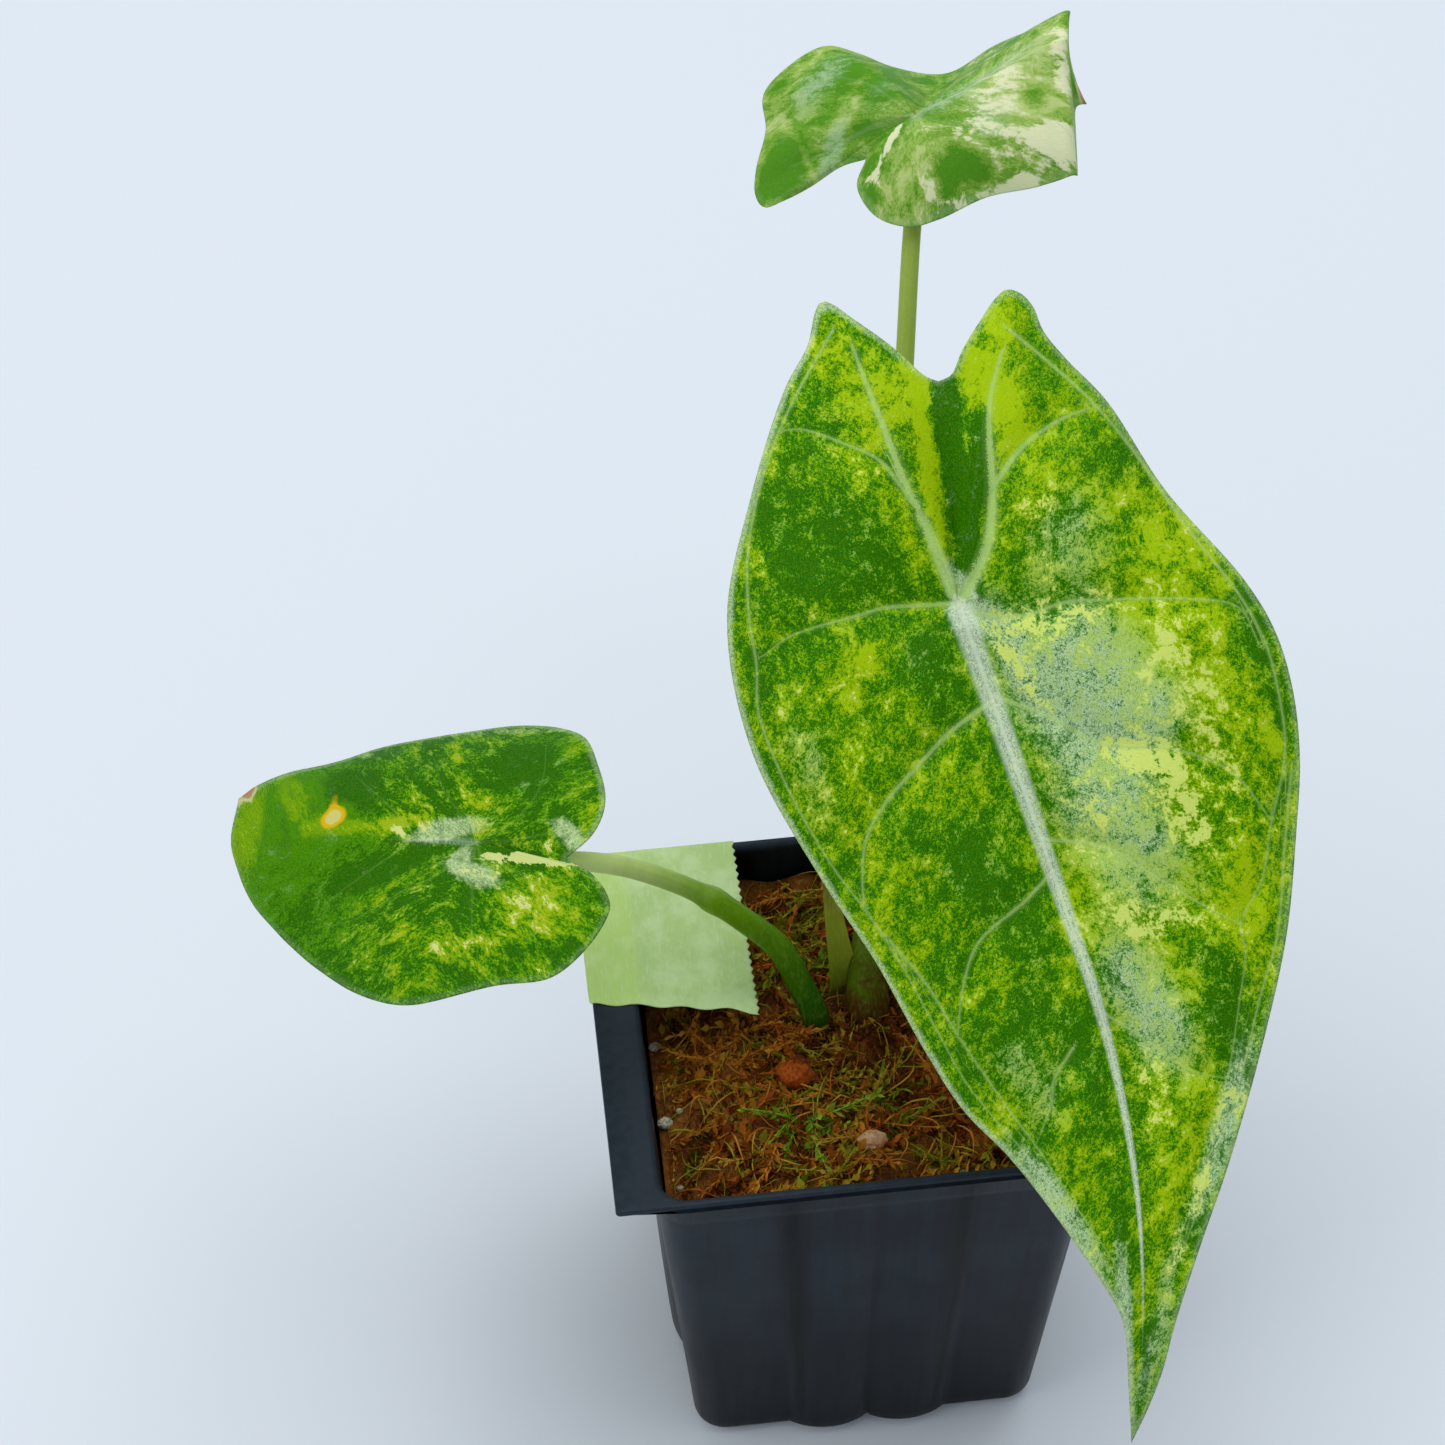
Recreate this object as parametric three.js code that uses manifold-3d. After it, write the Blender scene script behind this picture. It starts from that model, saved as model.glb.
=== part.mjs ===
// A young variegated alocasia in a small square nursery pot, in millimetres.
// The origin is the middle of the pot's base. +Z is up, +Y runs to the back and +X to the right.
import * as THREE from 'three';
import Module from 'manifold-3d';
import { mergeVertices } from 'three/addons/utils/BufferGeometryUtils.js';

const wasm = await Module();
wasm.setup();

// Driving dimensions
const gap = 0.3;
const pot = {
  height: 84,
  topHalf: 33,
  baseHalf: 28.5,
  wall: 1,
  cornerRadius: 5,
  baseEdgeRadius: 3.2,
  fluteDepth: 2,
  fluteZone: 0.37,
  flangeHalf: 40,
  beadHalf: 33.7,
  flangeThickness: 1.2,
  flangeCorner: 0.6,
  drainRadius: 3.5,
  drainOffset: 15,
};
const medium = { topHeight: 74, edgeDrop: 2.2, lump: 1.1, rings: 9 };
const stem = { footHeight: 61, holeDepth: 14, sides: 10, stepsPerPoint: 2 };
const tape = { thickness: 0.4, left: -40, right: -14.7, back: 32.4, foldHeight: 79.5, lift: 1.1 };
const blade = { thickness: 0.8, ribDepth: 1.1, ribHalfWidth: 1.8, stepsPerPoint: 2 };

// Where each stem stands in the medium, with its radius there
const feet = {
  left: { x: -5.3, y: 2.7, radius: 2.0 },
  back: { x: 3.2, y: 5.6, radius: 1.9 },
  front: { x: 8.8, y: 9.4, radius: 2.0 },
  sheath: { x: -0.9, y: 8.2, radius: 1.7 },
};

// A blade is laid out flat in its own frame: s runs from the stalk to the tip and t to the left of it.
// Each outline row is [s, t, height of the margin, height halfway in], from the notch to the tip.
// The midrib then bows sideways past bowStart, and a fold turns the far end down.
const frontBlade = {
  at: [16.7, 18.6, 158],
  heading: -73,
  droop: 35,
  bank: 13,
  bow: 0.0034,
  bowStart: 55,
  rings: 9,
  fold: { turn: 0, start: 92, radius: 90, most: 30, crest: 0, nearSlope: 0, farSlope: 0 },
  right: [
    [-31, 8, -1, -2], [-32.3, 6.3, -1, -1], [-37.6, 3.8, -2, 1], [-42, 0.5, -3, 2],
    [-46.8, -4.3, -4, 2], [-45, -7.2, -4, 2], [-37.3, -13.5, -3, 3], [-23.6, -23.8, -2, 3],
    [-8.7, -32.3, -2, 3], [10.7, -35, -2, 3], [31.4, -31.6, -1, 3], [45, -28.2, -1, 2.5],
    [59, -25.8, -1, 2], [69, -22.8, -1, 2], [77.7, -17.7, -1, 1.5], [88.4, -12, 0, 1],
    [100.5, -4.8, 0, 0.5], [110, -2.6, 0, 0], [124, 0, 0, 0],
  ],
  left: [
    [-31, 8, -1, -2], [-32.2, 10, -1, -1], [-37.9, 15.5, -3, 1], [-40, 21, -4, 2],
    [-38.6, 23.3, -4, 2], [-33.8, 24.4, -3, 2], [-20, 29.8, -2, 3], [-5.5, 33.8, -2, 3],
    [10.7, 40.3, -2, 3], [19.2, 42, -2, 3], [28.5, 41.5, -2, 3], [38, 39, -1, 3],
    [47, 35.3, -1, 2.5], [60, 29.4, -1, 2], [73.3, 22.4, -1, 2], [89.5, 13.7, 0, 1],
    [99, 8.7, 0, 0.5], [111, 4, 0, 0], [124, 0, 0, 0],
  ],
};
const leftBlade = {
  at: [-55.5, 7.2, 126.5],
  heading: 158,
  droop: 18,
  bank: 0,
  bow: 0.031,
  bowStart: 28,
  rings: 8,
  fold: null,
  right: [
    [-15.5, 2.2, 0, -1], [-18.7, -1, 1, 0], [-19.4, -4.9, 1, 1], [-18.7, -8.7, 1, 1],
    [-15.2, -15.1, 0, 1], [-10.8, -21, -1, 1], [-5.4, -23.7, -2, 1], [2, -24.8, -3, 1],
    [9.3, -23.7, -3, 1], [16.4, -22.3, -3, 1], [26, -19.4, -3, 1], [37, -13, -3, 0.5],
    [43, -5.4, -3, 0], [45.6, 0, -3, 0],
  ],
  left: [
    [-15.5, 2.2, 0, -1], [-17.4, 3.4, 0, 0], [-20.8, 5.5, 1, 1], [-24.2, 8.6, 1, 1],
    [-25.9, 11.8, 1, 1], [-24.3, 17.4, 0, 1], [-19.6, 22.7, -1, 1], [-10.5, 24, -2, 1],
    [2.6, 27.4, -3, 1], [11.8, 25.4, -4, 1], [22, 20, -5, 0], [31.7, 13.6, -5, -1],
    [37, 11.2, -5, -1], [41.3, 8.9, -5, -1], [44.3, 6.5, -4, -1], [45.6, 0, -3, 0],
  ],
};
const backBlade = {
  at: [19.8, 90.5, 184.7],
  heading: 25,
  droop: -14.7,
  bank: 0,
  bow: 0.03,
  bowStart: 20,
  rings: 14,
  fold: { turn: -31.4, start: 19.6, radius: 4, most: 106, crest: 14, nearSlope: 0.43, farSlope: 0.8 },
  right: [
    [-9, 1.2, -4, -1], [-12.6, -1.8, -4, 0], [-13.4, -4.6, -5, 0], [-12.9, -8, -6, -0.5],
    [-10, -11.8, -7, -1], [-5.7, -13.2, -8, -1], [2, -14.5, -9, -1], [9.7, -16.7, -9, -1],
    [17, -17.5, -9, -1], [23, -16.2, -8, -1], [30, -8, -4, -1], [36, 0, -1, 0],
  ],
  left: [
    [-9, 1.2, -4, -1], [-12.4, 3, -4.5, -1.5], [-17.4, 4.6, -6.5, -2.5], [-21.5, 5.9, -7.5, -3],
    [-24.6, 7.8, -8.5, -3], [-24.3, 10.6, -8, -2], [-22.2, 12.7, -6, -0.5], [-17.5, 16.5, -4, 1],
    [-14.7, 20.7, -2, 2], [-9, 21, 0, 3], [-3, 19.4, 1, 3], [1, 18, -3, 2], [5, 16, -8, 0],
    [12, 14, -13, -3], [20, 13.5, -13.5, -3.3], [28, 10.5, -9.5, -1.5], [33, 6, -4.5, -0.8],
    [36, 0, -1, 0],
  ],
};

const colours = {
  plastic: 0x2b2f35,
  medium: 0x6b4524,
  leaf: 0x5d9a2e,
  paleLeaf: 0x9bb768,
  stalk: 0x8aa94a,
  sheath: 0x9a9a55,
  tape: 0xb5cc86,
};

// Closed meshes

function namedMesh(name, geometry, colour, roughness) {
  const material = new THREE.MeshStandardMaterial({ color: colour, roughness, metalness: 0 });
  const mesh = new THREE.Mesh(geometry, material);
  mesh.name = name;
  return mesh;
}

function closedGeometry(points, triangles) {
  let volume = 0;
  for (const [a, b, c] of triangles) {
    volume += points[a].dot(new THREE.Vector3().crossVectors(points[b], points[c]));
  }
  const order = volume > 0 ? triangles : triangles.map(([a, b, c]) => [a, c, b]);
  const geometry = new THREE.BufferGeometry();
  geometry.setAttribute('position', new THREE.Float32BufferAttribute(points.flatMap((p) => p.toArray()), 3));
  geometry.setIndex(order.flat());
  return geometry;
}

function middleOf(ring) {
  return ring.reduce((sum, point) => sum.add(point), new THREE.Vector3()).divideScalar(ring.length);
}

// Rings of equal length joined in turn, with the first and the last ring filled to their middle
function loft(rings) {
  const count = rings[0].length;
  const points = [...rings.flat(), middleOf(rings[0]), middleOf(rings[rings.length - 1])];
  const first = rings.length * count;
  const triangles = [];
  for (let i = 0; i < count; i++) {
    const next = (i + 1) % count;
    triangles.push([first, next, i]);
    const top = (rings.length - 1) * count;
    triangles.push([first + 1, top + i, top + next]);
    for (let k = 0; k + 1 < rings.length; k++) {
      const low = k * count;
      const high = low + count;
      triangles.push([low + i, low + next, high + next]);
      triangles.push([low + i, high + next, high + i]);
    }
  }
  return closedGeometry(points, triangles);
}

// A thin sheet: the same triangles on its upper and lower face, closed round the rim
function plate(upper, lower, faces, rim) {
  const shift = upper.length;
  const triangles = [...faces, ...faces.map(([a, b, c]) => [a + shift, c + shift, b + shift])];
  rim.forEach((a, i) => {
    const b = rim[(i + 1) % rim.length];
    triangles.push([b, a, a + shift]);
    triangles.push([b, a + shift, b + shift]);
  });
  return closedGeometry([...upper, ...lower], triangles);
}

function sheetNormals(points, faces) {
  const normals = points.map(() => new THREE.Vector3());
  for (const [a, b, c] of faces) {
    const ab = new THREE.Vector3().subVectors(points[b], points[a]);
    const ac = new THREE.Vector3().subVectors(points[c], points[a]);
    const normal = ab.cross(ac);
    for (const corner of [a, b, c]) normals[corner].add(normal);
  }
  return normals.map((normal) => normal.normalize());
}

function toSolid(geometry) {
  const bare = geometry.clone();
  bare.deleteAttribute('normal');
  bare.deleteAttribute('uv');
  const merged = mergeVertices(bare, 1e-4);
  const mesh = new wasm.Mesh({
    numProp: 3,
    vertProperties: new Float32Array(merged.attributes.position.array),
    triVerts: new Uint32Array(merged.index.array),
  });
  return new wasm.Manifold(mesh);
}

function fromSolid(solid) {
  const mesh = solid.getMesh();
  const geometry = new THREE.BufferGeometry();
  geometry.setAttribute('position', new THREE.Float32BufferAttribute(mesh.vertProperties, mesh.numProp));
  geometry.setIndex(new THREE.Uint32BufferAttribute(mesh.triVerts, 1));
  return geometry;
}

function uprightCylinder(x, y, low, high, radius, sides) {
  const geometry = new THREE.CylinderGeometry(radius, radius, high - low, sides);
  geometry.rotateX(Math.PI / 2);
  geometry.translate(x, y, (low + high) / 2);
  return geometry;
}

function cutHoles(geometry, holes) {
  return fromSolid(holes.reduce((solid, hole) => solid.subtract(toSolid(hole)), toSolid(geometry)));
}

// Pot: one thin formed shell with a flat flange left and right and a fine bead front and back

// Two flutes in the middle of each side, u running from -1 to 1 across the side
function fluteShape(u) {
  const across = Math.abs(u) / pot.fluteZone;
  return across < 1 ? Math.sin(Math.PI * across) ** 0.7 : 0;
}

function squareRing(halfX, halfY, corner, z, flute) {
  const ring = [];
  const stations = 6;
  const arcSteps = 4;
  for (let side = 0; side < 4; side++) {
    const along = side % 2 ? halfY : halfX;
    const out = side % 2 ? halfX : halfY;
    const turn = (side * Math.PI) / 2;
    const place = (a, o) => {
      ring.push(new THREE.Vector3(a * Math.cos(turn) + o * Math.sin(turn), a * Math.sin(turn) - o * Math.cos(turn), z));
    };
    for (let k = -stations; k <= stations; k++) {
      const u = (pot.fluteZone * k) / stations;
      place(u * along, out + flute * fluteShape(u));
    }
    for (let k = 0; k <= arcSteps; k++) {
      const angle = (k / arcSteps) * (Math.PI / 2);
      place(along - corner + corner * Math.sin(angle), out - corner + corner * Math.cos(angle));
    }
  }
  return ring;
}

function halfWidthAt(z) {
  return pot.baseHalf + ((pot.topHalf - pot.baseHalf) * z) / pot.height;
}

function fluteAt(z) {
  return pot.fluteDepth * (1 - z / pot.height);
}

function wallRing(z, inset) {
  const half = halfWidthAt(z) - inset;
  return squareRing(half, half, pot.cornerRadius - Math.min(inset, 1), z, fluteAt(z));
}

// The rounded foot of the wall, from the flat base up; share is how much of the flutes it follows
function footRings(inset, steps, share) {
  const radius = pot.baseEdgeRadius - inset;
  const rings = [];
  for (let k = 0; k <= steps; k++) {
    const angle = (k / steps) * (Math.PI / 2);
    const z = inset + radius * (1 - Math.cos(angle));
    const half = halfWidthAt(z) - inset - radius * (1 - Math.sin(angle));
    rings.push(squareRing(half, half, pot.cornerRadius - inset, z, share * fluteAt(z) * Math.sin(angle)));
  }
  return rings;
}

function potGeometry() {
  const under = pot.height - pot.flangeThickness;
  const opening = pot.topHalf - pot.wall;
  const openingCorner = pot.cornerRadius - pot.wall;
  const rings = [
    ...footRings(0, 3, 1),
    wallRing(pot.height / 2, 0),
    wallRing(under, 0),
    squareRing(pot.flangeHalf, pot.beadHalf, pot.flangeCorner, under, 0),
    squareRing(pot.flangeHalf, pot.beadHalf, pot.flangeCorner, pot.height, 0),
    squareRing(opening, opening, openingCorner, pot.height, 0),
    wallRing(pot.height / 2, pot.wall),
    ...footRings(pot.wall, 3, 1).reverse(),
  ];
  const drains = [];
  for (const x of [-pot.drainOffset, pot.drainOffset]) {
    for (const y of [-pot.drainOffset, pot.drainOffset]) {
      drains.push(uprightCylinder(x, y, -1, pot.wall + 1, pot.drainRadius, 16));
    }
  }
  return cutHoles(loft(rings), drains);
}

// Growing medium: a plug that fills the pot, with a lumpy top and a plain hole for each stem

function mediumHeight(x, y, toEdge) {
  const lumps = Math.sin(0.31 * x + 1.3) * Math.cos(0.27 * y - 0.6) + 0.6 * Math.sin(0.62 * x - 0.48 * y);
  return medium.topHeight + medium.lump * lumps - medium.edgeDrop * toEdge ** 4;
}

function mediumGeometry() {
  const inset = pot.wall + gap;
  const rings = footRings(inset, 2, 0);
  const edge = medium.topHeight - medium.edgeDrop - 2 * medium.lump;
  const half = halfWidthAt(edge) - inset;
  const corner = pot.cornerRadius - pot.wall;
  rings.push(squareRing(half, half, corner, edge, 0));
  for (let k = 0; k < medium.rings; k++) {
    const toEdge = 1 - k / medium.rings;
    const ring = squareRing(half * toEdge, half * toEdge, corner * toEdge, 0, 0);
    rings.push(ring.map(({ x, y }) => new THREE.Vector3(x, y, mediumHeight(x, y, toEdge))));
  }
  const low = stem.footHeight - gap;
  const holes = Object.values(feet).map(({ x, y, radius }) =>
    uprightCylinder(x, y, low, low + 3 * stem.holeDepth, radius + gap, 20));
  return cutHoles(loft(rings), holes);
}

// Stalks: round, tapering, curved from a plain hole in the medium to the underside of a blade

function bladeAxes({ heading, droop, bank }) {
  const h = THREE.MathUtils.degToRad(heading);
  const d = THREE.MathUtils.degToRad(droop);
  const along = new THREE.Vector3(Math.cos(h) * Math.cos(d), Math.sin(h) * Math.cos(d), -Math.sin(d));
  const left = new THREE.Vector3(-Math.sin(h), Math.cos(h), 0);
  left.applyAxisAngle(along, THREE.MathUtils.degToRad(bank));
  return { along, left, up: new THREE.Vector3().crossVectors(along, left) };
}

function underBlade(shape, depth) {
  return new THREE.Vector3(...shape.at).addScaledVector(bladeAxes(shape).up, -depth);
}

// A stalk's radius falls from its foot to its top, with a step where its own sheath ends
function stalkRadius(share, footRadius, topRadius, sheathEnd) {
  const taper = footRadius - 0.2 + (topRadius + 0.2 - footRadius) * share;
  return taper + 0.2 * (1 - THREE.MathUtils.smoothstep(share, sheathEnd - 0.03, sheathEnd + 0.03));
}

// A section carried along a smooth curve through the points, with the same steps between each two
function sweep(points, section) {
  const path = new THREE.CatmullRomCurve3(points.map((point) => new THREE.Vector3(...point)), false, 'centripetal');
  const steps = stem.stepsPerPoint * (points.length - 1);
  const normal = new THREE.Vector3(1, 0, 0);
  return loft(path.getPoints(steps).map((centre, k) => {
    const tangent = path.getTangent(k / steps);
    normal.addScaledVector(tangent, -normal.dot(tangent)).normalize();
    const binormal = new THREE.Vector3().crossVectors(tangent, normal);
    return section(k / steps).map(([across, over]) => centre.clone()
      .addScaledVector(normal, across)
      .addScaledVector(binormal, over));
  }));
}

// The straight part of a stem, from its foot in the medium to just above it
function buried({ x, y }) {
  return [[x, y, stem.footHeight], [x, y, stem.footHeight + 7], [x, y, medium.topHeight], [x, y, medium.topHeight + 4]];
}

function stalkGeometry(foot, way, shape, topRadius, sheathEnd) {
  const ribbed = blade.thickness + blade.ribDepth;
  const top = [underBlade(shape, ribbed + 4).toArray(), underBlade(shape, ribbed + gap).toArray()];
  return sweep([...buried(foot), ...way, ...top], (share) => {
    const radius = stalkRadius(share, foot.radius, topRadius, sheathEnd);
    return Array.from({ length: stem.sides }, (_, i) => {
      const angle = (2 * Math.PI * i) / stem.sides;
      return [radius * Math.cos(angle), radius * Math.sin(angle)];
    });
  });
}

// The old leaf sheath: a narrow pointed strip, hollowed on one side, that leans out beside the stalks
function sheathGeometry() {
  const foot = feet.sheath;
  const lean = [[foot.x - 1.6, foot.y + 1.4, 88], [foot.x - 3.6, foot.y + 2.6, 103]];
  return sweep([...buried(foot), ...lean], (share) => {
    const half = foot.radius * 0.85 * (1 - 0.8 * share ** 2);
    return Array.from({ length: 12 }, (_, i) => {
      const angle = (2 * Math.PI * i) / 12;
      const over = half * Math.cos(angle);
      return [over, 0.45 * Math.sin(angle) + 0.25 * half - 0.35 * over * over / half];
    });
  });
}

// Leaf blades

// Centripetal Catmull-Rom through rows of numbers, with knots spaced by the first two columns
function smoothRows(rows, steps) {
  const mirror = (a, b) => a.map((value, i) => 2 * value - b[i]);
  const all = [mirror(rows[0], rows[1]), ...rows, mirror(rows[rows.length - 1], rows[rows.length - 2])];
  const knot = (a, b) => Math.sqrt(Math.hypot(b[0] - a[0], b[1] - a[1]));
  const out = [];
  for (let k = 1; k + 2 < all.length; k++) {
    const [p0, p1, p2, p3] = all.slice(k - 1, k + 3);
    const [d0, d1, d2] = [knot(p0, p1), knot(p1, p2), knot(p2, p3)];
    for (let step = 0; step < steps; step++) {
      const x = step / steps;
      out.push(p1.map((value, i) => {
        const rise = p2[i] - value;
        const m1 = d1 * ((value - p0[i]) / d0 - (p2[i] - p0[i]) / (d0 + d1) + rise / d1);
        const m2 = d1 * (rise / d1 - (p3[i] - value) / (d1 + d2) + (p3[i] - p2[i]) / d2);
        return value + m1 * x + (3 * rise - 2 * m1 - m2) * x ** 2 + (m1 + m2 - 2 * rise) * x ** 3;
      }));
    }
  }
  out.push(rows[rows.length - 1]);
  return out;
}

// Past its start line the sheet turns down round a crest, then runs straight on
function foldDown({ s, t, h }, fold) {
  const turn = THREE.MathUtils.degToRad(fold.turn);
  const across = s * Math.cos(turn) + t * Math.sin(turn);
  const beside = t * Math.cos(turn) - s * Math.sin(turn);
  const past = across - fold.start;
  if (past <= 0) return new THREE.Vector3(s, t, h);
  const most = THREE.MathUtils.degToRad(fold.most);
  const angle = Math.min(past / fold.radius, most);
  const straight = Math.max(0, past - fold.radius * most);
  const slope = beside < fold.crest ? fold.nearSlope : fold.farSlope;
  const crest = -slope * Math.abs(beside - fold.crest);
  const reach = fold.radius + h - crest;
  const out = fold.start + reach * Math.sin(angle) + straight * Math.cos(angle);
  const height = crest + reach * Math.cos(angle) - fold.radius - straight * Math.sin(angle);
  return new THREE.Vector3(
    out * Math.cos(turn) - beside * Math.sin(turn),
    out * Math.sin(turn) + beside * Math.cos(turn),
    height,
  );
}

function bladePoint(shape, [reachS, reachT, margin, middle], share) {
  const s = share * reachS;
  const t = share * reachT - shape.bow * Math.max(0, s - shape.bowStart) ** 2;
  const h = 4 * middle * share * (1 - share) + margin * share * (2 * share - 1);
  return shape.fold ? foldDown({ s, t, h }, shape.fold) : new THREE.Vector3(s, t, h);
}

// The midrib stands proud under the blade and thins out towards the tip
function ribUnder([reachS, reachT], share, length) {
  const s = share * reachS;
  const t = share * reachT;
  if (s <= 0) return blade.ribDepth * Math.exp(-((s / 3) ** 2) - (t / 3) ** 2);
  return blade.ribDepth * (1 - (0.8 * s) / length) * Math.exp(-((t / blade.ribHalfWidth) ** 2));
}

function bladeGeometry(shape) {
  const right = smoothRows(shape.right, blade.stepsPerPoint);
  const left = smoothRows(shape.left, blade.stepsPerPoint).slice(1, -1).reverse();
  const rays = [...right, ...left];
  const length = shape.right[shape.right.length - 1][0];
  const upper = [new THREE.Vector3()];
  const depths = [blade.thickness + blade.ribDepth];
  for (let ring = 1; ring <= shape.rings; ring++) {
    const share = ring / shape.rings;
    for (const ray of rays) {
      upper.push(bladePoint(shape, ray, share));
      depths.push(blade.thickness + ribUnder(ray, share, length));
    }
  }
  const faces = [];
  rays.forEach((_, i) => {
    const next = (i + 1) % rays.length;
    faces.push([0, 1 + i, 1 + next]);
    for (let ring = 0; ring + 1 < shape.rings; ring++) {
      const inner = 1 + ring * rays.length;
      const outer = inner + rays.length;
      faces.push([inner + i, outer + i, outer + next]);
      faces.push([inner + i, outer + next, inner + next]);
    }
  });
  const normals = sheetNormals(upper, faces);
  const lower = upper.map((point, i) => point.clone().addScaledVector(normals[i], -depths[i]));
  const rimStart = 1 + (shape.rings - 1) * rays.length;
  return plate(upper, lower, faces, rays.map((_, i) => rimStart + i));
}

function bladeMesh(name, shape, colour) {
  const mesh = namedMesh(name, bladeGeometry(shape), colour, 0.55);
  const { along, left, up } = bladeAxes(shape);
  mesh.quaternion.setFromRotationMatrix(new THREE.Matrix4().makeBasis(along, left, up));
  mesh.position.set(...shape.at);
  return mesh;
}

// Label tape: stuck on the left flange and the back rim, folded down over the flange's edge

// Its front edge slants forward to the right
function tapeFront(x) {
  return 4.6 - 5.8 * ((x - tape.left) / (tape.right - tape.left)) ** 1.3;
}

function tapeHeight(x, forward) {
  const free = THREE.MathUtils.smoothstep(x, -pot.topHalf, -pot.topHalf + 9);
  const wave = Math.sin(0.33 * x + 1.1) * 0.5 + forward ** 3;
  return tape.lift * free * forward * wave;
}

function tapeGeometry() {
  const columns = [];
  const outer = tape.left - gap;
  const flat = pot.height + gap;
  for (const z of [tape.foldHeight, 82, flat - 0.3]) columns.push({ x: outer, z });
  columns.push({ x: outer + 0.3, z: flat });
  for (let k = 1; k <= 14; k++) columns.push({ x: tape.left + ((tape.right - tape.left) * k) / 14, z: flat });
  const rows = 12;
  const lower = [];
  for (let row = 0; row <= rows; row++) {
    const forward = row / rows;
    for (const { x, z } of columns) {
      const y = tape.back + (tapeFront(Math.max(x, tape.left)) - tape.back) * forward;
      lower.push(new THREE.Vector3(x, y, z + tapeHeight(x, forward)));
    }
  }
  const width = columns.length;
  const faces = [];
  for (let row = 0; row < rows; row++) {
    for (let column = 0; column + 1 < width; column++) {
      const a = row * width + column;
      faces.push([a, a + width, a + width + 1]);
      faces.push([a, a + width + 1, a + 1]);
    }
  }
  const normals = sheetNormals(lower, faces);
  const upper = lower.map((point, i) => point.clone().addScaledVector(normals[i], tape.thickness));
  const rim = [];
  for (let row = 0; row < rows; row++) rim.push(row * width);
  for (let column = 0; column < width - 1; column++) rim.push(rows * width + column);
  for (let row = rows; row > 0; row--) rim.push(row * width + width - 1);
  for (let column = width - 1; column > 0; column--) rim.push(column);
  return plate(upper, lower, faces, rim);
}

// The points that each stalk passes between its foot and its blade
const leftWay = [
  [-7.3, 4.8, 83], [-10.3, 7.4, 90], [-15.6, 9.3, 96], [-22.3, 10.7, 102.7],
  [-31.3, 10.5, 110.5], [-37.3, 9.2, 115.4], [-43.3, 7.6, 119.2], [-49.5, 6.8, 121],
];
const frontWay = [[9.2, 13, 98], [11.5, 19, 122], [15, 23.5, 140]];
const backWay = [[7.5, 25.3, 102], [11.4, 43.5, 128.7], [15.6, 65.8, 158], [18.4, 80, 173]];

const alocasia = new THREE.Group();
alocasia.add(
  namedMesh('pot', potGeometry(), colours.plastic, 0.45),
  namedMesh('growing_medium', mediumGeometry(), colours.medium, 0.95),
  namedMesh('stalk_left', stalkGeometry(feet.left, leftWay, leftBlade, 1.35, 0.42), colours.stalk, 0.5),
  namedMesh('stalk_front', stalkGeometry(feet.front, frontWay, frontBlade, 1.5, 0.35), colours.stalk, 0.5),
  namedMesh('stalk_back', stalkGeometry(feet.back, backWay, backBlade, 1.25, 0.3), colours.stalk, 0.5),
  namedMesh('stem_sheath', sheathGeometry(), colours.sheath, 0.6),
  bladeMesh('leaf_left', leftBlade, colours.leaf),
  bladeMesh('leaf_front', frontBlade, colours.leaf),
  bladeMesh('leaf_back', backBlade, colours.paleLeaf),
  namedMesh('label_tape', tapeGeometry(), colours.tape, 0.8),
);
export default alocasia;
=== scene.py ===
"""A young variegated alocasia in a small square nursery pot, dressed round its solid model.

Sizes and places are millimetres from the middle of the pot's base, with +Z up and +Y to the back.
"""
import math
import random

import bmesh
import bpy
import numpy as np
from mathutils import Matrix, Quaternion, Vector, noise


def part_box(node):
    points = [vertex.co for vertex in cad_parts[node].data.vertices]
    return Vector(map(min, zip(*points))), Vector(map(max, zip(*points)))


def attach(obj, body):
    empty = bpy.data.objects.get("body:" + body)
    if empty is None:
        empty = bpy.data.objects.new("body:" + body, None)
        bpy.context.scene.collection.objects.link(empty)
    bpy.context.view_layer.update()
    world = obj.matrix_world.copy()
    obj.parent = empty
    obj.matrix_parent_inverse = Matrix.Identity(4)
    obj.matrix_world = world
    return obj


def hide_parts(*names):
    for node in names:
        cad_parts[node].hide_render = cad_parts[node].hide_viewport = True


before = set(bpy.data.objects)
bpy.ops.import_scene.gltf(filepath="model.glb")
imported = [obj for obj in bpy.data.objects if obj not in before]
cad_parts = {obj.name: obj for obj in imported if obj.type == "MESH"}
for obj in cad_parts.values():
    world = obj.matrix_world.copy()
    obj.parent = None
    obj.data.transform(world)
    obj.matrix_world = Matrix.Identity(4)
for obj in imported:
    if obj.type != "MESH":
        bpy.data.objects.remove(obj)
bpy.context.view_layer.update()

# The pot is one thin shell of near-black plastic, drawn over a mould from a single sheet. Its walls
# taper, its corners are round, two flutes in each side stiffen it, and flat flanges left and right
# are left over from the tray that it was cut from. It stands on its flat base.
MM = 0.001
pot_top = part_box("pot")[1] / MM
top_half = 33.9
base_half = 28.3
wall = 1
corner_radius = 5
foot_radius = 3.2
shallower = 0.7
flute_depth = 2
flute_zone = 0.45
flute_roundness = 0.7
plain_band = 4
flange_thickness = 1.2
flange_corner = 0.6
under_fillet = 0.3
edge_round = 0.35
lip_round = 0.9
inner_ledge = 0.7
flat_steps = 72
corner_steps = 12
outer_rows = 18
inner_rows = 14
round_rows = 9
drain_radius = 3.5
drain_offset = 15


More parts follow.
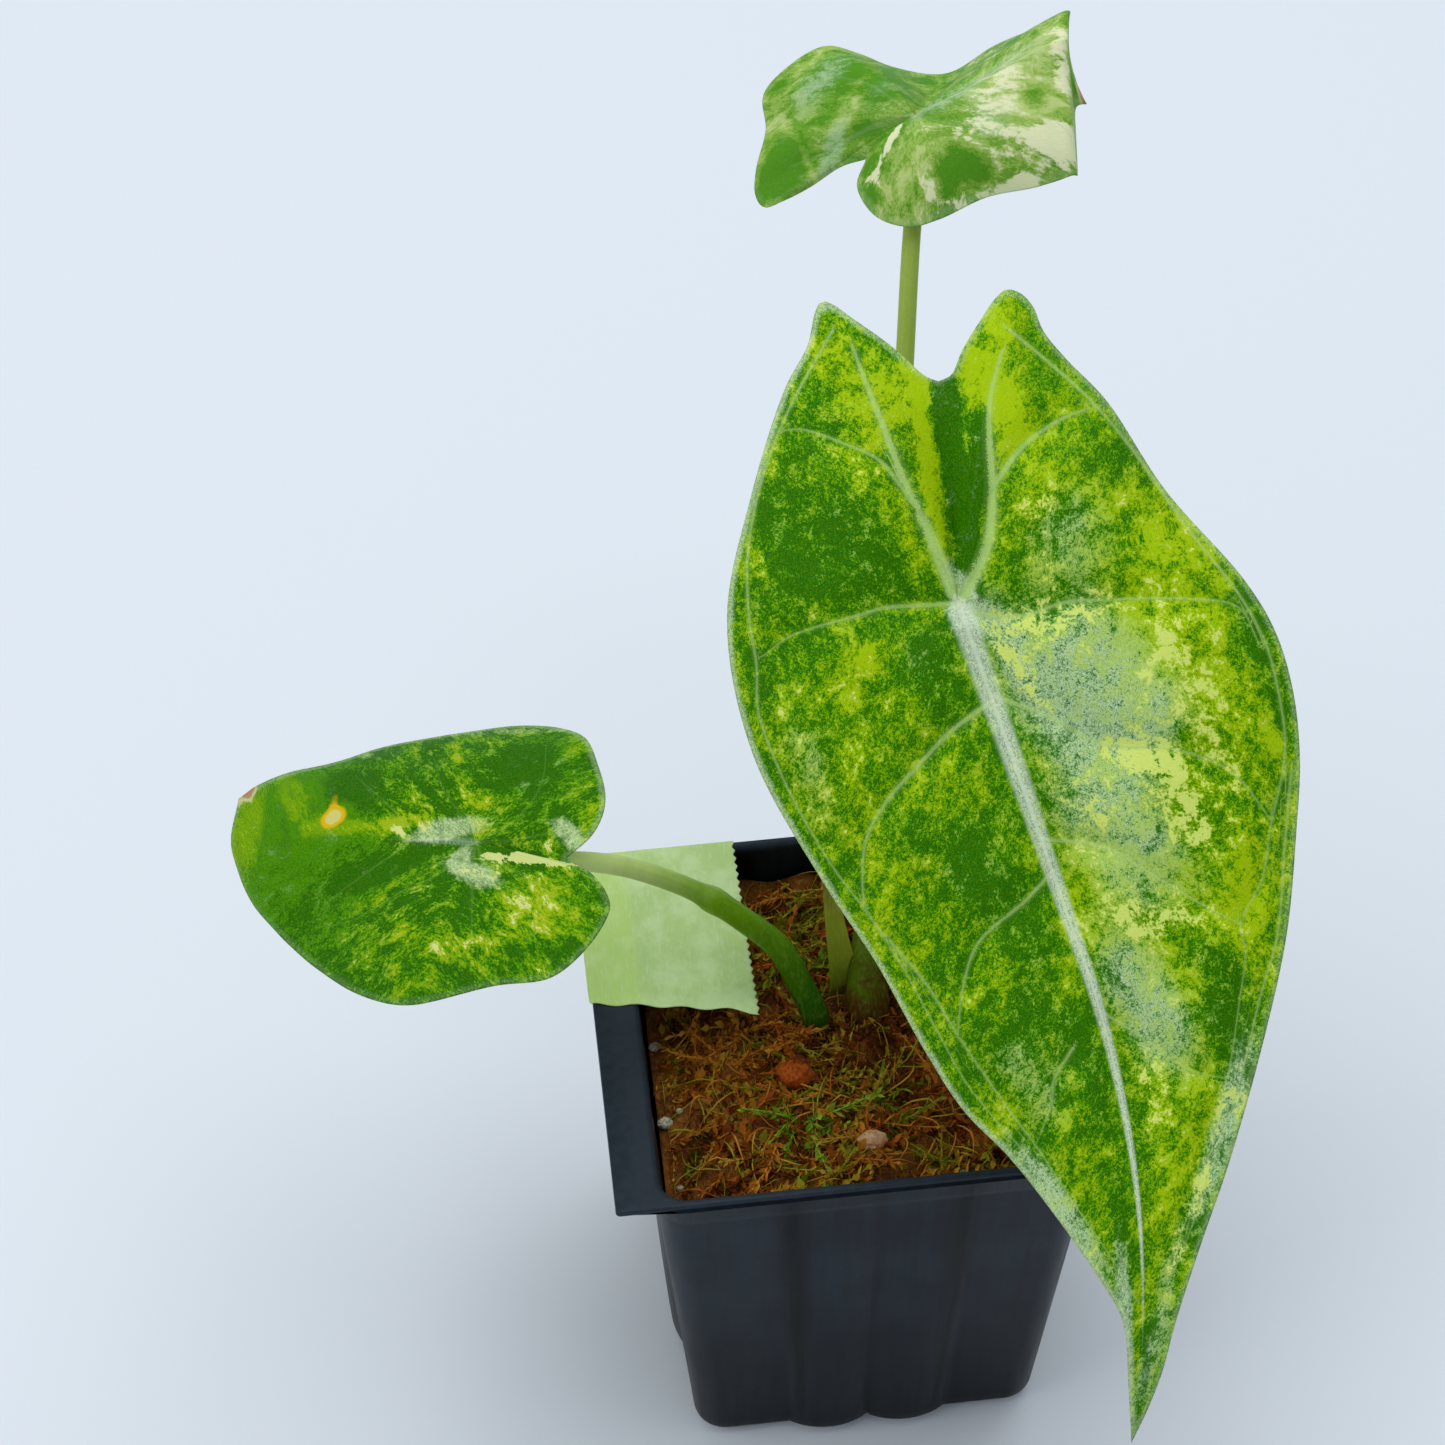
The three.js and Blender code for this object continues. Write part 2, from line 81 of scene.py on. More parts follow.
class Level:
    """A shader socket. A sum written with it adds its own Math nodes."""

    def __init__(self, tree, socket):
        self.tree = tree
        self.socket = socket

    def _math(self, operation, *terms):
        node = self.tree.nodes.new("ShaderNodeMath")
        node.operation = operation
        for entry, term in zip(node.inputs, terms):
            if isinstance(term, Level):
                self.tree.links.new(term.socket, entry)
            else:
                entry.default_value = term
        return Level(self.tree, node.outputs[0])

    def __add__(self, other):
        return self._math("ADD", self, other)

    def __radd__(self, other):
        return self._math("ADD", other, self)

    def __sub__(self, other):
        return self._math("SUBTRACT", self, other)

    def __rsub__(self, other):
        return self._math("SUBTRACT", other, self)

    def __mul__(self, other):
        return self._math("MULTIPLY", self, other)

    def __rmul__(self, other):
        return self._math("MULTIPLY", other, self)

    def __truediv__(self, other):
        return self._math("DIVIDE", self, other)

    def __abs__(self):
        return self._math("ABSOLUTE", self)

    def most(self, other):
        return self._math("MAXIMUM", self, other)


def colour(code):
    """The linear colour of an RRGGBB code."""
    parts = [int(code[i:i + 2], 16) / 255 for i in (0, 2, 4)]
    return [*(p / 12.92 if p <= 0.04045 else ((p + 0.055) / 1.055) ** 2.4 for p in parts), 1]


class Finish:
    """A procedural material: its shader, and the nodes that its patterns are made of."""

    def __init__(self, name, settings):
        self.material = bpy.data.materials.new(name)
        self.material.use_nodes = True
        self.tree = self.material.node_tree
        self.shader = self.tree.nodes["Principled BSDF"]
        for socket, value in settings.items():
            self.shader.inputs[socket].default_value = value

    def node(self, kind, settings, inputs, output=0):
        """Any node: its type, settings, the values or links of its sockets, and the output used."""
        node = self.tree.nodes.new(kind)
        for name, setting in settings.items():
            if name == "stops":
                while len(node.color_ramp.elements) < len(setting):
                    node.color_ramp.elements.new(1)
                for element, (place, code) in zip(node.color_ramp.elements, setting):
                    element.position = place
                    element.color = colour(code)
            else:
                setattr(node, name, setting)
        for key, given in inputs.items():
            if isinstance(given, Level):
                self.tree.links.new(given.socket, node.inputs[key])
            else:
                node.inputs[key].default_value = given
        return Level(self.tree, node.outputs[output])

    def set(self, socket, level):
        self.tree.links.new(level.socket, self.shader.inputs[socket])

    def place(self):
        """Object coordinates in millimetres."""
        where = self.node("ShaderNodeTexCoord", {}, {}, "Object")
        return self.node("ShaderNodeVectorMath", {"operation": "SCALE"}, {0: where, "Scale": 1 / MM})

    def stretched(self, where, scale):
        return self.node("ShaderNodeMapping", {}, {"Vector": where, "Scale": scale})

    def noise(self, where, size, detail=3.0, roughness=0.55, distortion=0.0):
        """Cloudy noise from 0 to 1, with blotches about that size."""
        inputs = {"Vector": where, "Scale": 1 / size, "Detail": detail, "Roughness": roughness,
                  "Distortion": distortion}
        return self.node("ShaderNodeTexNoise", {}, inputs)

    def rise(self, level, low, high, start=0.0, end=1.0):
        """A smooth step from start to end as the level goes from low to high."""
        inputs = {"Value": level, 1: low, 2: high, 3: start, 4: end}
        return self.node("ShaderNodeMapRange", {"interpolation_type": "SMOOTHSTEP"}, inputs)

    def mix(self, amount, first, second):
        """The first colour, turning into the second as the amount goes from 0 to 1."""
        given = [colour(c) if isinstance(c, str) else c for c in (first, second)]
        return self.node("ShaderNodeMix", {"data_type": "RGBA"}, {0: amount, 6: given[0], 7: given[1]}, 2)

    def ramp(self, level, *stops):
        return self.node("ShaderNodeValToRGB", {"stops": stops}, {"Fac": level})

    def attribute(self, name):
        return self.node("ShaderNodeAttribute", {"attribute_name": name}, {}, "Fac")

    def bump(self, height, depth):
        """Relief up to that many millimetres deep where the height goes from 0 to 1."""
        self.set("Normal", self.node("ShaderNodeBump", {}, {"Height": height, "Distance": depth * MM}))


def grid(columns, rows):
    """A flat sheet of quads, and how far across and along it each vertex lies, from 0 to 1."""
    bm = bmesh.new()
    bmesh.ops.create_grid(bm, x_segments=columns, y_segments=rows, size=0.5)
    flat = np.array([vertex.co[:2] for vertex in bm.verts]) + 0.5
    return bm, np.round(flat[:, 0] * columns) / columns, np.round(flat[:, 1] * rows) / rows


def move_to(bm, x, y, z):
    for vertex, point in zip(bm.verts, np.stack([x, y, z], 1) * MM):
        vertex.co = point


def mark(bm, name, values):
    """Keeps a number on every vertex under that name, for a finish to read."""
    layer = bm.verts.layers.float.new(name)
    for vertex, value in zip(bm.verts, values):
        vertex[layer] = value


def weld(bm):
    """Joins the vertices that lie on each other, and turns every face outwards."""
    bmesh.ops.remove_doubles(bm, verts=bm.verts, dist=2e-6)
    bmesh.ops.recalc_face_normals(bm, faces=bm.faces)


def shown(name, bm, *finishes):
    """The finished mesh as a smooth object."""
    mesh = bpy.data.meshes.new(name)
    bm.to_mesh(mesh)
    bm.free()
    mesh.shade_smooth()
    for finish in finishes:
        mesh.materials.append(finish.material)
    piece = bpy.data.objects.new(name, mesh)
    bpy.context.scene.collection.objects.link(piece)
    return piece


def square_ring(u, half_x, half_y, corner, flute):
    """Points round a square with round corners, with u running once round it from 0 to 1."""
    side_steps = flat_steps + corner_steps
    side = np.floor(u * 4) % 4
    step = (u * 4 - np.floor(u * 4)) * side_steps
    along = np.where(side % 2 == 0, half_x, half_y)
    out = np.where(side % 2 == 0, half_y, half_x)
    across = (along - corner) * (2 * np.minimum(step / flat_steps, 1) - 1)
    angle = np.clip((step - flat_steps) / corner_steps, 0, 1) * np.pi / 2
    share = np.abs(across) / np.maximum(along, 0.01) / flute_zone
    bulge = np.where(share < 1, np.abs(np.sin(np.pi * share)) ** flute_roundness, 0)
    a = across + corner * np.sin(angle)
    o = out - corner * (1 - np.cos(angle)) + flute * bulge
    turn = side * np.pi / 2
    return a * np.cos(turn) + o * np.sin(turn), a * np.sin(turn) - o * np.cos(turn)


def half_width(z):
    return base_half + (top_half - base_half) * z / pot_top.z


def flute_at(z):
    return flute_depth * max(0, 1 - (z / (pot_top.z - plain_band)) ** 2)


def foot(inset, flutes=1):
    """Rows of the wall's round foot, from the flat base up: half widths, corner, height and flute."""
    radius = foot_radius - inset
    rows = []
    for angle in np.linspace(0, np.pi / 2, round_rows):
        z = inset + radius * (1 - np.cos(angle))
        half = half_width(z) - inset - radius * (1 - np.sin(angle))
        rows.append((half, half, corner_radius - inset, z, flutes * flute_at(z) * np.sin(angle)))
    return rows


def half_depth(z):
    return half_width(z) - shallower * max(0, z - foot_radius) / (pot_top.z - foot_radius)


def wall_rows(inset, low, high, count):
    return [
        (half_width(z) - inset, half_depth(z) - inset, corner_radius - inset, z, flute_at(z))
        for z in np.linspace(low, high, count)
    ]


def floor_rows(row):
    """Rows that close a flat floor, from its middle out to the given row."""
    half, _, corner, z, _ = row
    return [(half * share, half * share, corner * share, z, 0) for share in (0, 0.3, 0.6, 0.85)]


def loft(rows):
    """A closed skin over those rows, one ring of vertices each."""
    rows = np.array(rows)
    bm, u, v = grid(4 * (flat_steps + corner_steps), len(rows) - 1)
    half_x, half_y, corner, z, flute = rows[np.round(v * (len(rows) - 1)).astype(int)].T
    x, y = square_ring(u, half_x, half_y, corner, flute)
    return bm, x, y, z


quarter = np.linspace(0, np.pi / 2, 5)
wall_foot = foot_radius + 2
pot_under = pot_top.z - flange_thickness
under_half = half_width(pot_under)
opening = top_half - wall
pot_rows = floor_rows(foot(0)[0]) + foot(0) + wall_rows(0, wall_foot, pot_under - under_fillet, outer_rows)
for angle in quarter:
    half = under_half + under_fillet * (1 - np.cos(angle))
    height = pot_under - under_fillet * (1 - np.sin(angle))
    pot_rows.append((half, half - shallower, corner_radius, height, 0))
for angle in np.linspace(-np.pi / 2, np.pi / 2, round_rows):
    reach = edge_round * (1 - np.cos(angle))
    height = pot_under + flange_thickness * (1 + np.sin(angle)) / 2
    pot_rows.append((pot_top.x - reach, pot_top.y - shallower - reach, flange_corner, height, 0))
for angle in quarter:
    half = opening + lip_round * (1 - np.sin(angle))
    corner = corner_radius - wall + lip_round * (1 - np.sin(angle))
    height = pot_top.z - lip_round * (1 - np.cos(angle))
    pot_rows.append((half, half - shallower - inner_ledge, corner, height, 0))
pot_rows += wall_rows(wall, pot_top.z - plain_band, wall_foot, inner_rows) + foot(wall)[::-1]
pot_rows += floor_rows(foot(wall)[0])[::-1]
pot_mesh, x, y, z = loft(pot_rows)
move_to(pot_mesh, x, y, z)

# The hollows between and beside the flutes hold less light, so the finish paints shade there: this crease
# field is painted shade.
share = np.minimum(np.abs(x), np.abs(y)) / (half_width(z) - corner_radius) / flute_zone
crease_shade_amount = 0.35 * np.exp(-(share / 0.1) ** 2) + np.exp(-((share - 1.05) / 0.17) ** 2)
mark(pot_mesh, "crease", np.where(z < pot_under, crease_shade_amount, 0))
weld(pot_mesh)

plastic = Finish("moulded_plastic", {"Specular IOR Level": 0.08})
where = plastic.place()
drawn = plastic.noise(plastic.stretched(where, (1, 1, 0.04)), 1.6, 4)
cloud = plastic.noise(where, 14, 4)
dust = plastic.rise(plastic.noise(where, 0.9, 5, 0.7), 0.6, 0.78) * plastic.rise(cloud, 0.45, 0.7)
body = plastic.mix(plastic.rise(drawn * 0.6 + cloud * 0.4, 0.35, 0.65), "161c24", "252d36")
height = plastic.node("ShaderNodeSeparateXYZ", {}, {0: where}, "Z")
# Painted light: the flange's top and the lip, which face up to the lamps, are painted lighter than the
# wall.
body = plastic.mix(plastic.rise(height, pot_under - 0.6, pot_under + 0.6) * 0.38, body, "3a434c")
# Painted shade: the wall is darkened towards the bottom and in the flute hollows.
low = plastic.rise(height, 0, 60, 1, 0)
body = plastic.mix((low * 0.8).most(plastic.attribute("crease") * 0.95), body, "020304")
plastic.set("Base Color", plastic.mix(dust * 0.3, body, "6d675c"))
plastic.set("Roughness", plastic.rise(drawn, 0.3, 0.7, 0.3, 0.42) + dust * 0.2)
plastic.bump(drawn * 0.7 + plastic.noise(where, 0.35, 2) * 0.3, 0.05)

pot = shown("pot_shell", pot_mesh, plastic)
drains = bmesh.new()
for x in (-drain_offset, drain_offset):
    for y in (-drain_offset, drain_offset):
        bmesh.ops.create_cone(
            drains, cap_ends=True, segments=32, radius1=drain_radius * MM, radius2=drain_radius * MM,
            depth=4 * wall * MM, matrix=Matrix.Translation((x * MM, y * MM, 0)),
        )
cutter = shown("drain_cutter", drains)
cut = pot.modifiers.new("drain_holes", "BOOLEAN")
cut.operation = "DIFFERENCE"
cut.solver = "EXACT"
cut.object = cutter
bpy.context.view_layer.update()
with_holes = bpy.data.meshes.new_from_object(pot.evaluated_get(bpy.context.evaluated_depsgraph_get()))
pot.modifiers.clear()
pot.data = with_holes
bpy.data.objects.remove(cutter)
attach(pot, "root")
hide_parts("pot")

# The growing medium is a damp plug of rotted moss and coir that fills the pot nearly to its rim. It
# has a loose, lumpy top in rust, brown and olive, and it holds the stems by their feet.
moss_top = 74
edge_drop = 2.2
lump = 1.1
crumb_depth = 1.3
crumb_size = 5
back_heap = 3.4
heap_start = 14
heap_run = 16
moss_gap = 0.3
moss_inset = wall + moss_gap
moss_edge = moss_top - edge_drop - 2 * lump
moss_half = half_width(moss_edge) - moss_inset
moss_depth = half_depth(moss_edge) - moss_inset
moss_rings = 70


def lumps(x, y):
    """The wide heaps of the medium's top."""
    wide = np.sin(0.31 * x + 1.3) * np.cos(0.27 * y - 0.6) + 0.6 * np.sin(0.62 * x - 0.48 * y)
    return moss_top + lump * wide + back_heap * np.clip((y - heap_start) / heap_run, 0, 1) ** 2


def crumbs(x, y):
    """Small lumps in the surface, about 3 to 6 mm across."""
    return crumb_depth * (noise.fractal((x / crumb_size, y / crumb_size, 0.3), 0.8, 2.1, 5) - 0.2)


def moss_height(x, y):
    """The height of the medium's top at a place, for what lies on it."""
    to_edge = min(1, max(abs(x) / moss_half, abs(y) / moss_depth))
    return float(lumps(x, y)) - edge_drop * to_edge ** 4 + crumbs(x, y) * (1 - to_edge ** 8)


moss_rows = floor_rows(foot(moss_inset, 0)[0]) + foot(moss_inset, 0)
for ring in range(moss_rings + 1):
    share = 1 - ring / moss_rings
    moss_rows.append((moss_half * share, moss_depth * share, (corner_radius - wall) * share, moss_edge, 0))
moss_mesh, x, y, z = loft(moss_rows)
is_top = z > moss_edge - 0.01
to_edge = np.maximum(np.abs(x) / moss_half, np.abs(y) / moss_depth)
small = np.array([crumbs(*place) for place in zip(x, y)]) * (1 - np.minimum(to_edge, 1) ** 8)
z = np.where(is_top, lumps(x, y) - edge_drop * np.minimum(to_edge, 1) ** 4 + small, z)
move_to(moss_mesh, x, y, z)
weld(moss_mesh)

soil = Finish("rotted_moss", {"Roughness": 0.9, "Specular IOR Level": 0.25})
where = soil.place()
blotch = soil.noise(where, 6, 4, 0.6)
crumb = soil.noise(where, 0.8, 5, 0.7, 1.0)
fibre = soil.noise(soil.stretched(where, (1, 0.25, 0.6)), 0.5, 4, 0.6, 2.0)
earth = soil.ramp(blotch * 0.5 + crumb * 0.5, (0.34, "3a1c08"), (0.43, "6a3610"), (0.53, "a05a1c"),
                  (0.63, "c48a34"))
soil.set("Base Color", soil.mix(soil.rise(fibre, 0.52, 0.68) * 0.6, earth, "8c8222"))
soil.bump(crumb * 0.6 + fibre * 0.4, 0.8)
moss_bed = shown("moss_bed", moss_mesh, soil)
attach(moss_bed, "root")
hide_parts("growing_medium")

# Sprigs of long-fibred moss lie on the medium, most of them dead and rust brown, some olive and a
# few still green. Each is a thin stem with short leaves all round it, and those that reach the pot's
# wall lie flat against it.
chance = random.Random(7)
sprig_kinds = 8
sprig_leaves = 24
sprig_length = 11
sprig_foot = 0.28
sprig_tip = 0.12
leaf_size = (1.5, 0.75)
leaf_turn = 2.4
sprig_count = 900
sprig_reach = (30.2, 29.2)
sprig_clear = (1.6, 2.2)
tuft_size = 14
tuft_spread = 1.6
# Each tuft is where it grows and how green it is.
tuft_places = [
    (-5.7, 12.4, 0.97), (-9.4, -15.8, 0.94), (-0.6, -12.9, 0.8), (-2.6, -8.6, 0.7), (-24, 2, 0.5),
    (-17, 3, 0.5), (-22, -3, 0.46), (-9, 22, 0.72), (-15, 17, 0.64), (3, 25, 0.7), (12, -24, 0.6),
]


def sprig_shape():
    """One bent sprig along +X, its foot at the origin."""
    bm = bmesh.new()
    bend = chance.uniform(-0.05, 0.05)
    droop = chance.uniform(0.01, 0.04)
    stem = Matrix.Translation((sprig_length / 2, 0, 0)) @ Matrix.Rotation(math.pi / 2, 4, "Y")
    bmesh.ops.create_cone(bm, cap_ends=False, segments=3, radius1=sprig_foot, radius2=sprig_tip,
                          depth=sprig_length, matrix=stem)
    rungs = [edge for edge in bm.edges if abs(edge.verts[0].co.x - edge.verts[1].co.x) > 1]
    bmesh.ops.subdivide_edges(bm, edges=rungs, cuts=3, use_grid_fill=True)
    for leaf in range(sprig_leaves):
        share = (leaf + 0.5) / sprig_leaves
        size = chance.uniform(0.65, 1.35) * (1.15 - 0.5 * share)
        turn = Matrix.Rotation(leaf * leaf_turn + chance.uniform(-0.5, 0.5), 4, "X")
        lean = Matrix.Rotation(chance.uniform(-1.2, -0.5), 4, "Y")
        length, width = (size * side for side in leaf_size)
        shape = Matrix.Diagonal((length, width, 1, 1)) @ Matrix.Rotation(math.pi / 4, 4, "Z")
        at = Matrix.Translation((share * sprig_length, 0, 0)) @ turn @ lean
        out = Matrix.Translation((0.8 * size, 0, 0))
        bmesh.ops.create_grid(bm, x_segments=1, y_segments=1, size=0.5, matrix=at @ out @ shape)
    for vertex in bm.verts:
        along = vertex.co.x
        vertex.co += Vector((0, bend * along ** 2 / 2, -droop * along ** 2 / 2))
        vertex.co *= MM
    mesh = bpy.data.meshes.new("sprig_shape")
    bm.to_mesh(mesh)
    bm.free()
    return mesh


def add_copy(bm, layer, shape, matrix, tone):
    """Adds a copy of the shape to the mesh, with its tone on every vertex."""
    start = len(bm.verts)
    bm.from_mesh(shape)
    bm.verts.ensure_lookup_table()
    for vertex in bm.verts[start:]:
        vertex.co = matrix @ vertex.co
        vertex[layer] = tone


sprig_shapes = [sprig_shape() for _ in range(sprig_kinds)]
sprig_mesh = bmesh.new()
sprig_tone = sprig_mesh.verts.layers.float.new("tone")
for number in range(sprig_count):
    tuft = tuft_places[number % len(tuft_places)] if number < tuft_size * len(tuft_places) else None
    if tuft:
        x, y = tuft[0] + chance.gauss(0, tuft_spread), tuft[1] + chance.gauss(0, tuft_spread)
        tone = tuft[2] + chance.uniform(-0.06, 0.03)
    else:
        x, y = (chance.uniform(-reach, reach) for reach in sprig_reach)
        tone = 0.42 + 0.9 * noise.fractal((x / 7, y / 7, 7), 1, 2, 3) + chance.gauss(0, 0.1)
        tone = min(max(tone, 0.1), 0.82)
    heading = chance.uniform(-math.pi, math.pi)
    tilt = -chance.uniform(0.1, 0.55) if chance.random() < 0.35 else chance.uniform(-0.1, 0.12)
    scale = chance.uniform(0.55, 1.1)
    reach = 0.9 * sprig_length * scale
    for _ in range(8):
        end_x, end_y = x + reach * math.cos(heading), y + reach * math.sin(heading)
        if abs(end_x) < moss_half - sprig_clear[0] and abs(end_y) < moss_depth - sprig_clear[1]:
            break
        heading += math.pi / 4
    place = Matrix.Translation((x * MM, y * MM, (moss_height(x, y) + chance.uniform(-0.1, 0.9)) * MM))
    spin = Matrix.Rotation(heading, 4, "Z") @ Matrix.Rotation(tilt, 4, "Y")
    roll = Matrix.Rotation(chance.uniform(-0.4, 0.4), 4, "X")
    shape = sprig_shapes[number % sprig_kinds]
    add_copy(sprig_mesh, sprig_tone, shape, place @ spin @ roll @ Matrix.Scale(scale, 4), tone)
for vertex in sprig_mesh.verts:
    height = vertex.co.z / MM
    for axis, half in enumerate((half_width(height), half_depth(height))):
        limit = (half - moss_inset) * MM
        vertex.co[axis] = min(max(vertex.co[axis], -limit), limit)

moss_leaf = Finish("moss_leaf", {"Roughness": 0.7, "Specular IOR Level": 0.12, "Subsurface Weight": 0.15,
                                 "Subsurface Radius": (1.0, 0.8, 0.4), "Subsurface Scale": 0.0008})
where = moss_leaf.place()
tone = moss_leaf.attribute("tone") + (moss_leaf.noise(where, 1.2, 3) - 0.5) * 0.22
moss_leaf.set("Base Color", moss_leaf.ramp(
    tone, (0.0, "45200c"), (0.16, "7c3e14"), (0.32, "bc621c"), (0.46, "d48c2c"), (0.58, "c8a032"),
    (0.7, "a49a26"), (0.84, "8f9a1c"), (0.93, "77a012"), (1.0, "bccc44")))
moss_sprigs = shown("moss_sprigs", sprig_mesh, moss_leaf)
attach(moss_sprigs, "root")

# Long single fibres of the same moss lie loose over the sprigs, bent every way, mostly straw and
# olive. Each is a thin three-sided rod of a few steps that is bent along its own way.
strand_count = 380
strand_steps = 7
strand_reach = (29, 28)
strand_limit = moss_depth - 0.8
strand_tones = [0.16, 0.25, 0.3, 0.36, 0.4, 0.45, 0.5, 0.56, 0.62, 0.7, 0.78]

rod = bmesh.new()
bmesh.ops.create_cone(rod, cap_ends=True, segments=3, radius1=1, radius2=1, depth=strand_steps)
rungs = [edge for edge in rod.edges if abs(edge.verts[0].co.z - edge.verts[1].co.z) > 1]
bmesh.ops.subdivide_edges(rod, edges=rungs, cuts=strand_steps - 1, use_grid_fill=True)
rod_shape = bpy.data.meshes.new("rod_shape")
rod.to_mesh(rod_shape)
rod.free()

strand_mesh = bmesh.new()
strand_tone = strand_mesh.verts.layers.float.new("tone")
for number in range(strand_count):
    x, y = (chance.uniform(-reach, reach) for reach in strand_reach)
    heading = chance.uniform(-math.pi, math.pi)
    stride = chance.uniform(5, 12) / strand_steps
    curl = chance.uniform(-0.35, 0.35)
    lift = chance.uniform(0.3, 2.4)
    thick = chance.uniform(0.09, 0.2)
    tone = chance.choice(strand_tones) + chance.gauss(0, 0.03)
    route = []
    for step in range(strand_steps + 1):
        share = step / strand_steps
        heading += curl
        x = min(max(x + stride * math.cos(heading), -strand_limit), strand_limit)
        y = min(max(y + stride * math.sin(heading), -strand_limit), strand_limit)
        height = moss_height(x, y) + 0.5 + lift * math.sin(math.pi * share)
        route.append((x, y, height, heading, thick * math.sin(math.pi * (0.12 + 0.8 * share))))
    first = len(strand_mesh.verts)
    add_copy(strand_mesh, strand_tone, rod_shape, Matrix(), tone)
    for vertex in strand_mesh.verts[first:]:
        over, side, step = vertex.co
        x, y, height, heading, radius = route[round(step + strand_steps / 2)]
        x, y = x - radius * side * math.sin(heading), y + radius * side * math.cos(heading)
        vertex.co = Vector((x, y, height + radius * over)) * MM
strand_mesh.normal_update()
bmesh.ops.recalc_face_normals(strand_mesh, faces=strand_mesh.faces)
moss_strands = shown("moss_strands", strand_mesh, moss_leaf)
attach(moss_strands, "root")

# A few grains lie in the moss: an orange ball of fired clay, a pinkish pebble and white crumbs of
# pumice. They are loose stones, each lying on the medium among the sprigs.
pebble_rows = [
    ("clay_pellet", (-9.6, -6.4), (2.9, 2.4, 2.1), "8c3604", "bc5a10", 1),
    ("pink_pebble", (0.8, -19.4), (2.3, 1.7, 1.4), "b8875c", "e4b88e", 2),
]
pumice_places = [
    (-30.6, -11.4, 1.2), (-28.2, -9.8, 0.6), (-30.7, 4, 1.0), (-29.4, -22, 0.6), (13.8, -25.6, 0.8),
    (24, 18, 1), (-14, 25, 0.8),
]
stone_sunk = 0.85


def stone(bm, x, y, radii, seed):
    """A worn stone, sunk a little into the medium."""
    rough = bmesh.ops.create_icosphere(bm, subdivisions=4, radius=1)["verts"]
    height = moss_height(x, y) + stone_sunk * radii[2]
    for vertex in rough:
        dent = 1 + 0.16 * noise.fractal(vertex.co * 1.6 + Vector((seed * 7.1, 0, 0)), 1, 2, 4)
        shape = Vector(a * b for a, b in zip(vertex.co, radii)) * dent
        vertex.co = (shape + Vector((x, y, height))) * MM


for name, (x, y), radii, deep, light, seed in pebble_rows:
    grain_mesh = bmesh.new()
    stone(grain_mesh, x, y, radii, seed)
    mineral = Finish(name, {"Roughness": 0.75, "Specular IOR Level": 0.2})
    where = mineral.place()
    speck = mineral.noise(where, 0.6, 5, 0.65)
    mineral.set("Base Color", mineral.mix(mineral.rise(speck, 0.35, 0.65), deep, light))
    mineral.bump(speck, 0.25)
    grain = shown(name, grain_mesh, mineral)
    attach(grain, "root")

pumice_mesh = bmesh.new()
for seed, (x, y, radius) in enumerate(pumice_places):
    stone(pumice_mesh, x, y, (radius, radius * 0.8, radius * 0.7), seed + 5)
pumice = Finish("pumice", {"Roughness": 0.85, "Specular IOR Level": 0.2})
where = pumice.place()
pores = pumice.noise(where, 0.35, 4, 0.6)
pumice.set("Base Color", pumice.mix(pumice.rise(pores, 0.35, 0.6), "a39c80", "ebe6cc"))
pumice.bump(pores, 0.3)
pumice_grains = shown("pumice_grains", pumice_mesh, pumice)
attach(pumice_grains, "root")

# The stalks are the leaves' own, round and juicy, thick at the foot and thinner at the top. Each
# foot is wrapped in the stalk's own sheath, which ends in a small step. They stand in the medium.
stem_foot = 61
stem_straight = 4
stalk_steps = 12
stalk_sides = 28
rib_depth = 1.1
blade_thickness = 0.8
sheath_skin = 0.2
# Each foot is its place and its radius.
feet = {
    "left": (-5.3, 2.7, 2.0), "back": (3.2, 5.6, 1.9), "front": (8.8, 9.4, 2.0), "sheath": (0.1, 8.0, 2.3),
}


def smooth_rows(rows, steps, keys):
    """A smooth curve through rows of numbers, its knots spaced by the first few columns."""
    rows = np.array(rows, float)
    given = np.vstack([2 * rows[0] - rows[1], rows, 2 * rows[-1] - rows[-2]])
    knots = np.sqrt(np.linalg.norm(np.diff(given[:, :keys], axis=0), axis=1))
    x = (np.arange(steps) / steps)[:, None]
    parts = []
    for k in range(1, len(given) - 2):
        before, here, there, after = given[k - 1:k + 3]
        d0, d1, d2 = knots[k - 1:k + 2]
        rise = there - here
        m1 = d1 * ((here - before) / d0 - (there - before) / (d0 + d1) + rise / d1)
        m2 = d1 * (rise / d1 - (after - here) / (d1 + d2) + (after - there) / d2)
        parts.append(here + m1 * x + (3 * rise - 2 * m1 - m2) * x ** 2 + (m1 + m2 - 2 * rise) * x ** 3)
    return np.vstack([*parts, rows[-1:]])


def axes(heading, droop, bank):
    """A blade's own directions: along its midrib, to its left and up from its face."""
    heading, droop, bank = np.radians([heading, droop, bank])
    level = math.cos(droop)
    along = Vector((math.cos(heading) * level, math.sin(heading) * level, -math.sin(droop)))
    left = Quaternion(along, bank) @ Vector((-math.sin(heading), math.cos(heading), 0))
    return along, left, along.cross(left)


def buried(x, y):
    """The straight part of a stem, from its foot in the medium to just above it."""
    return [(x, y, z) for z in (stem_foot, stem_foot + 7, moss_top, moss_top + stem_straight)]


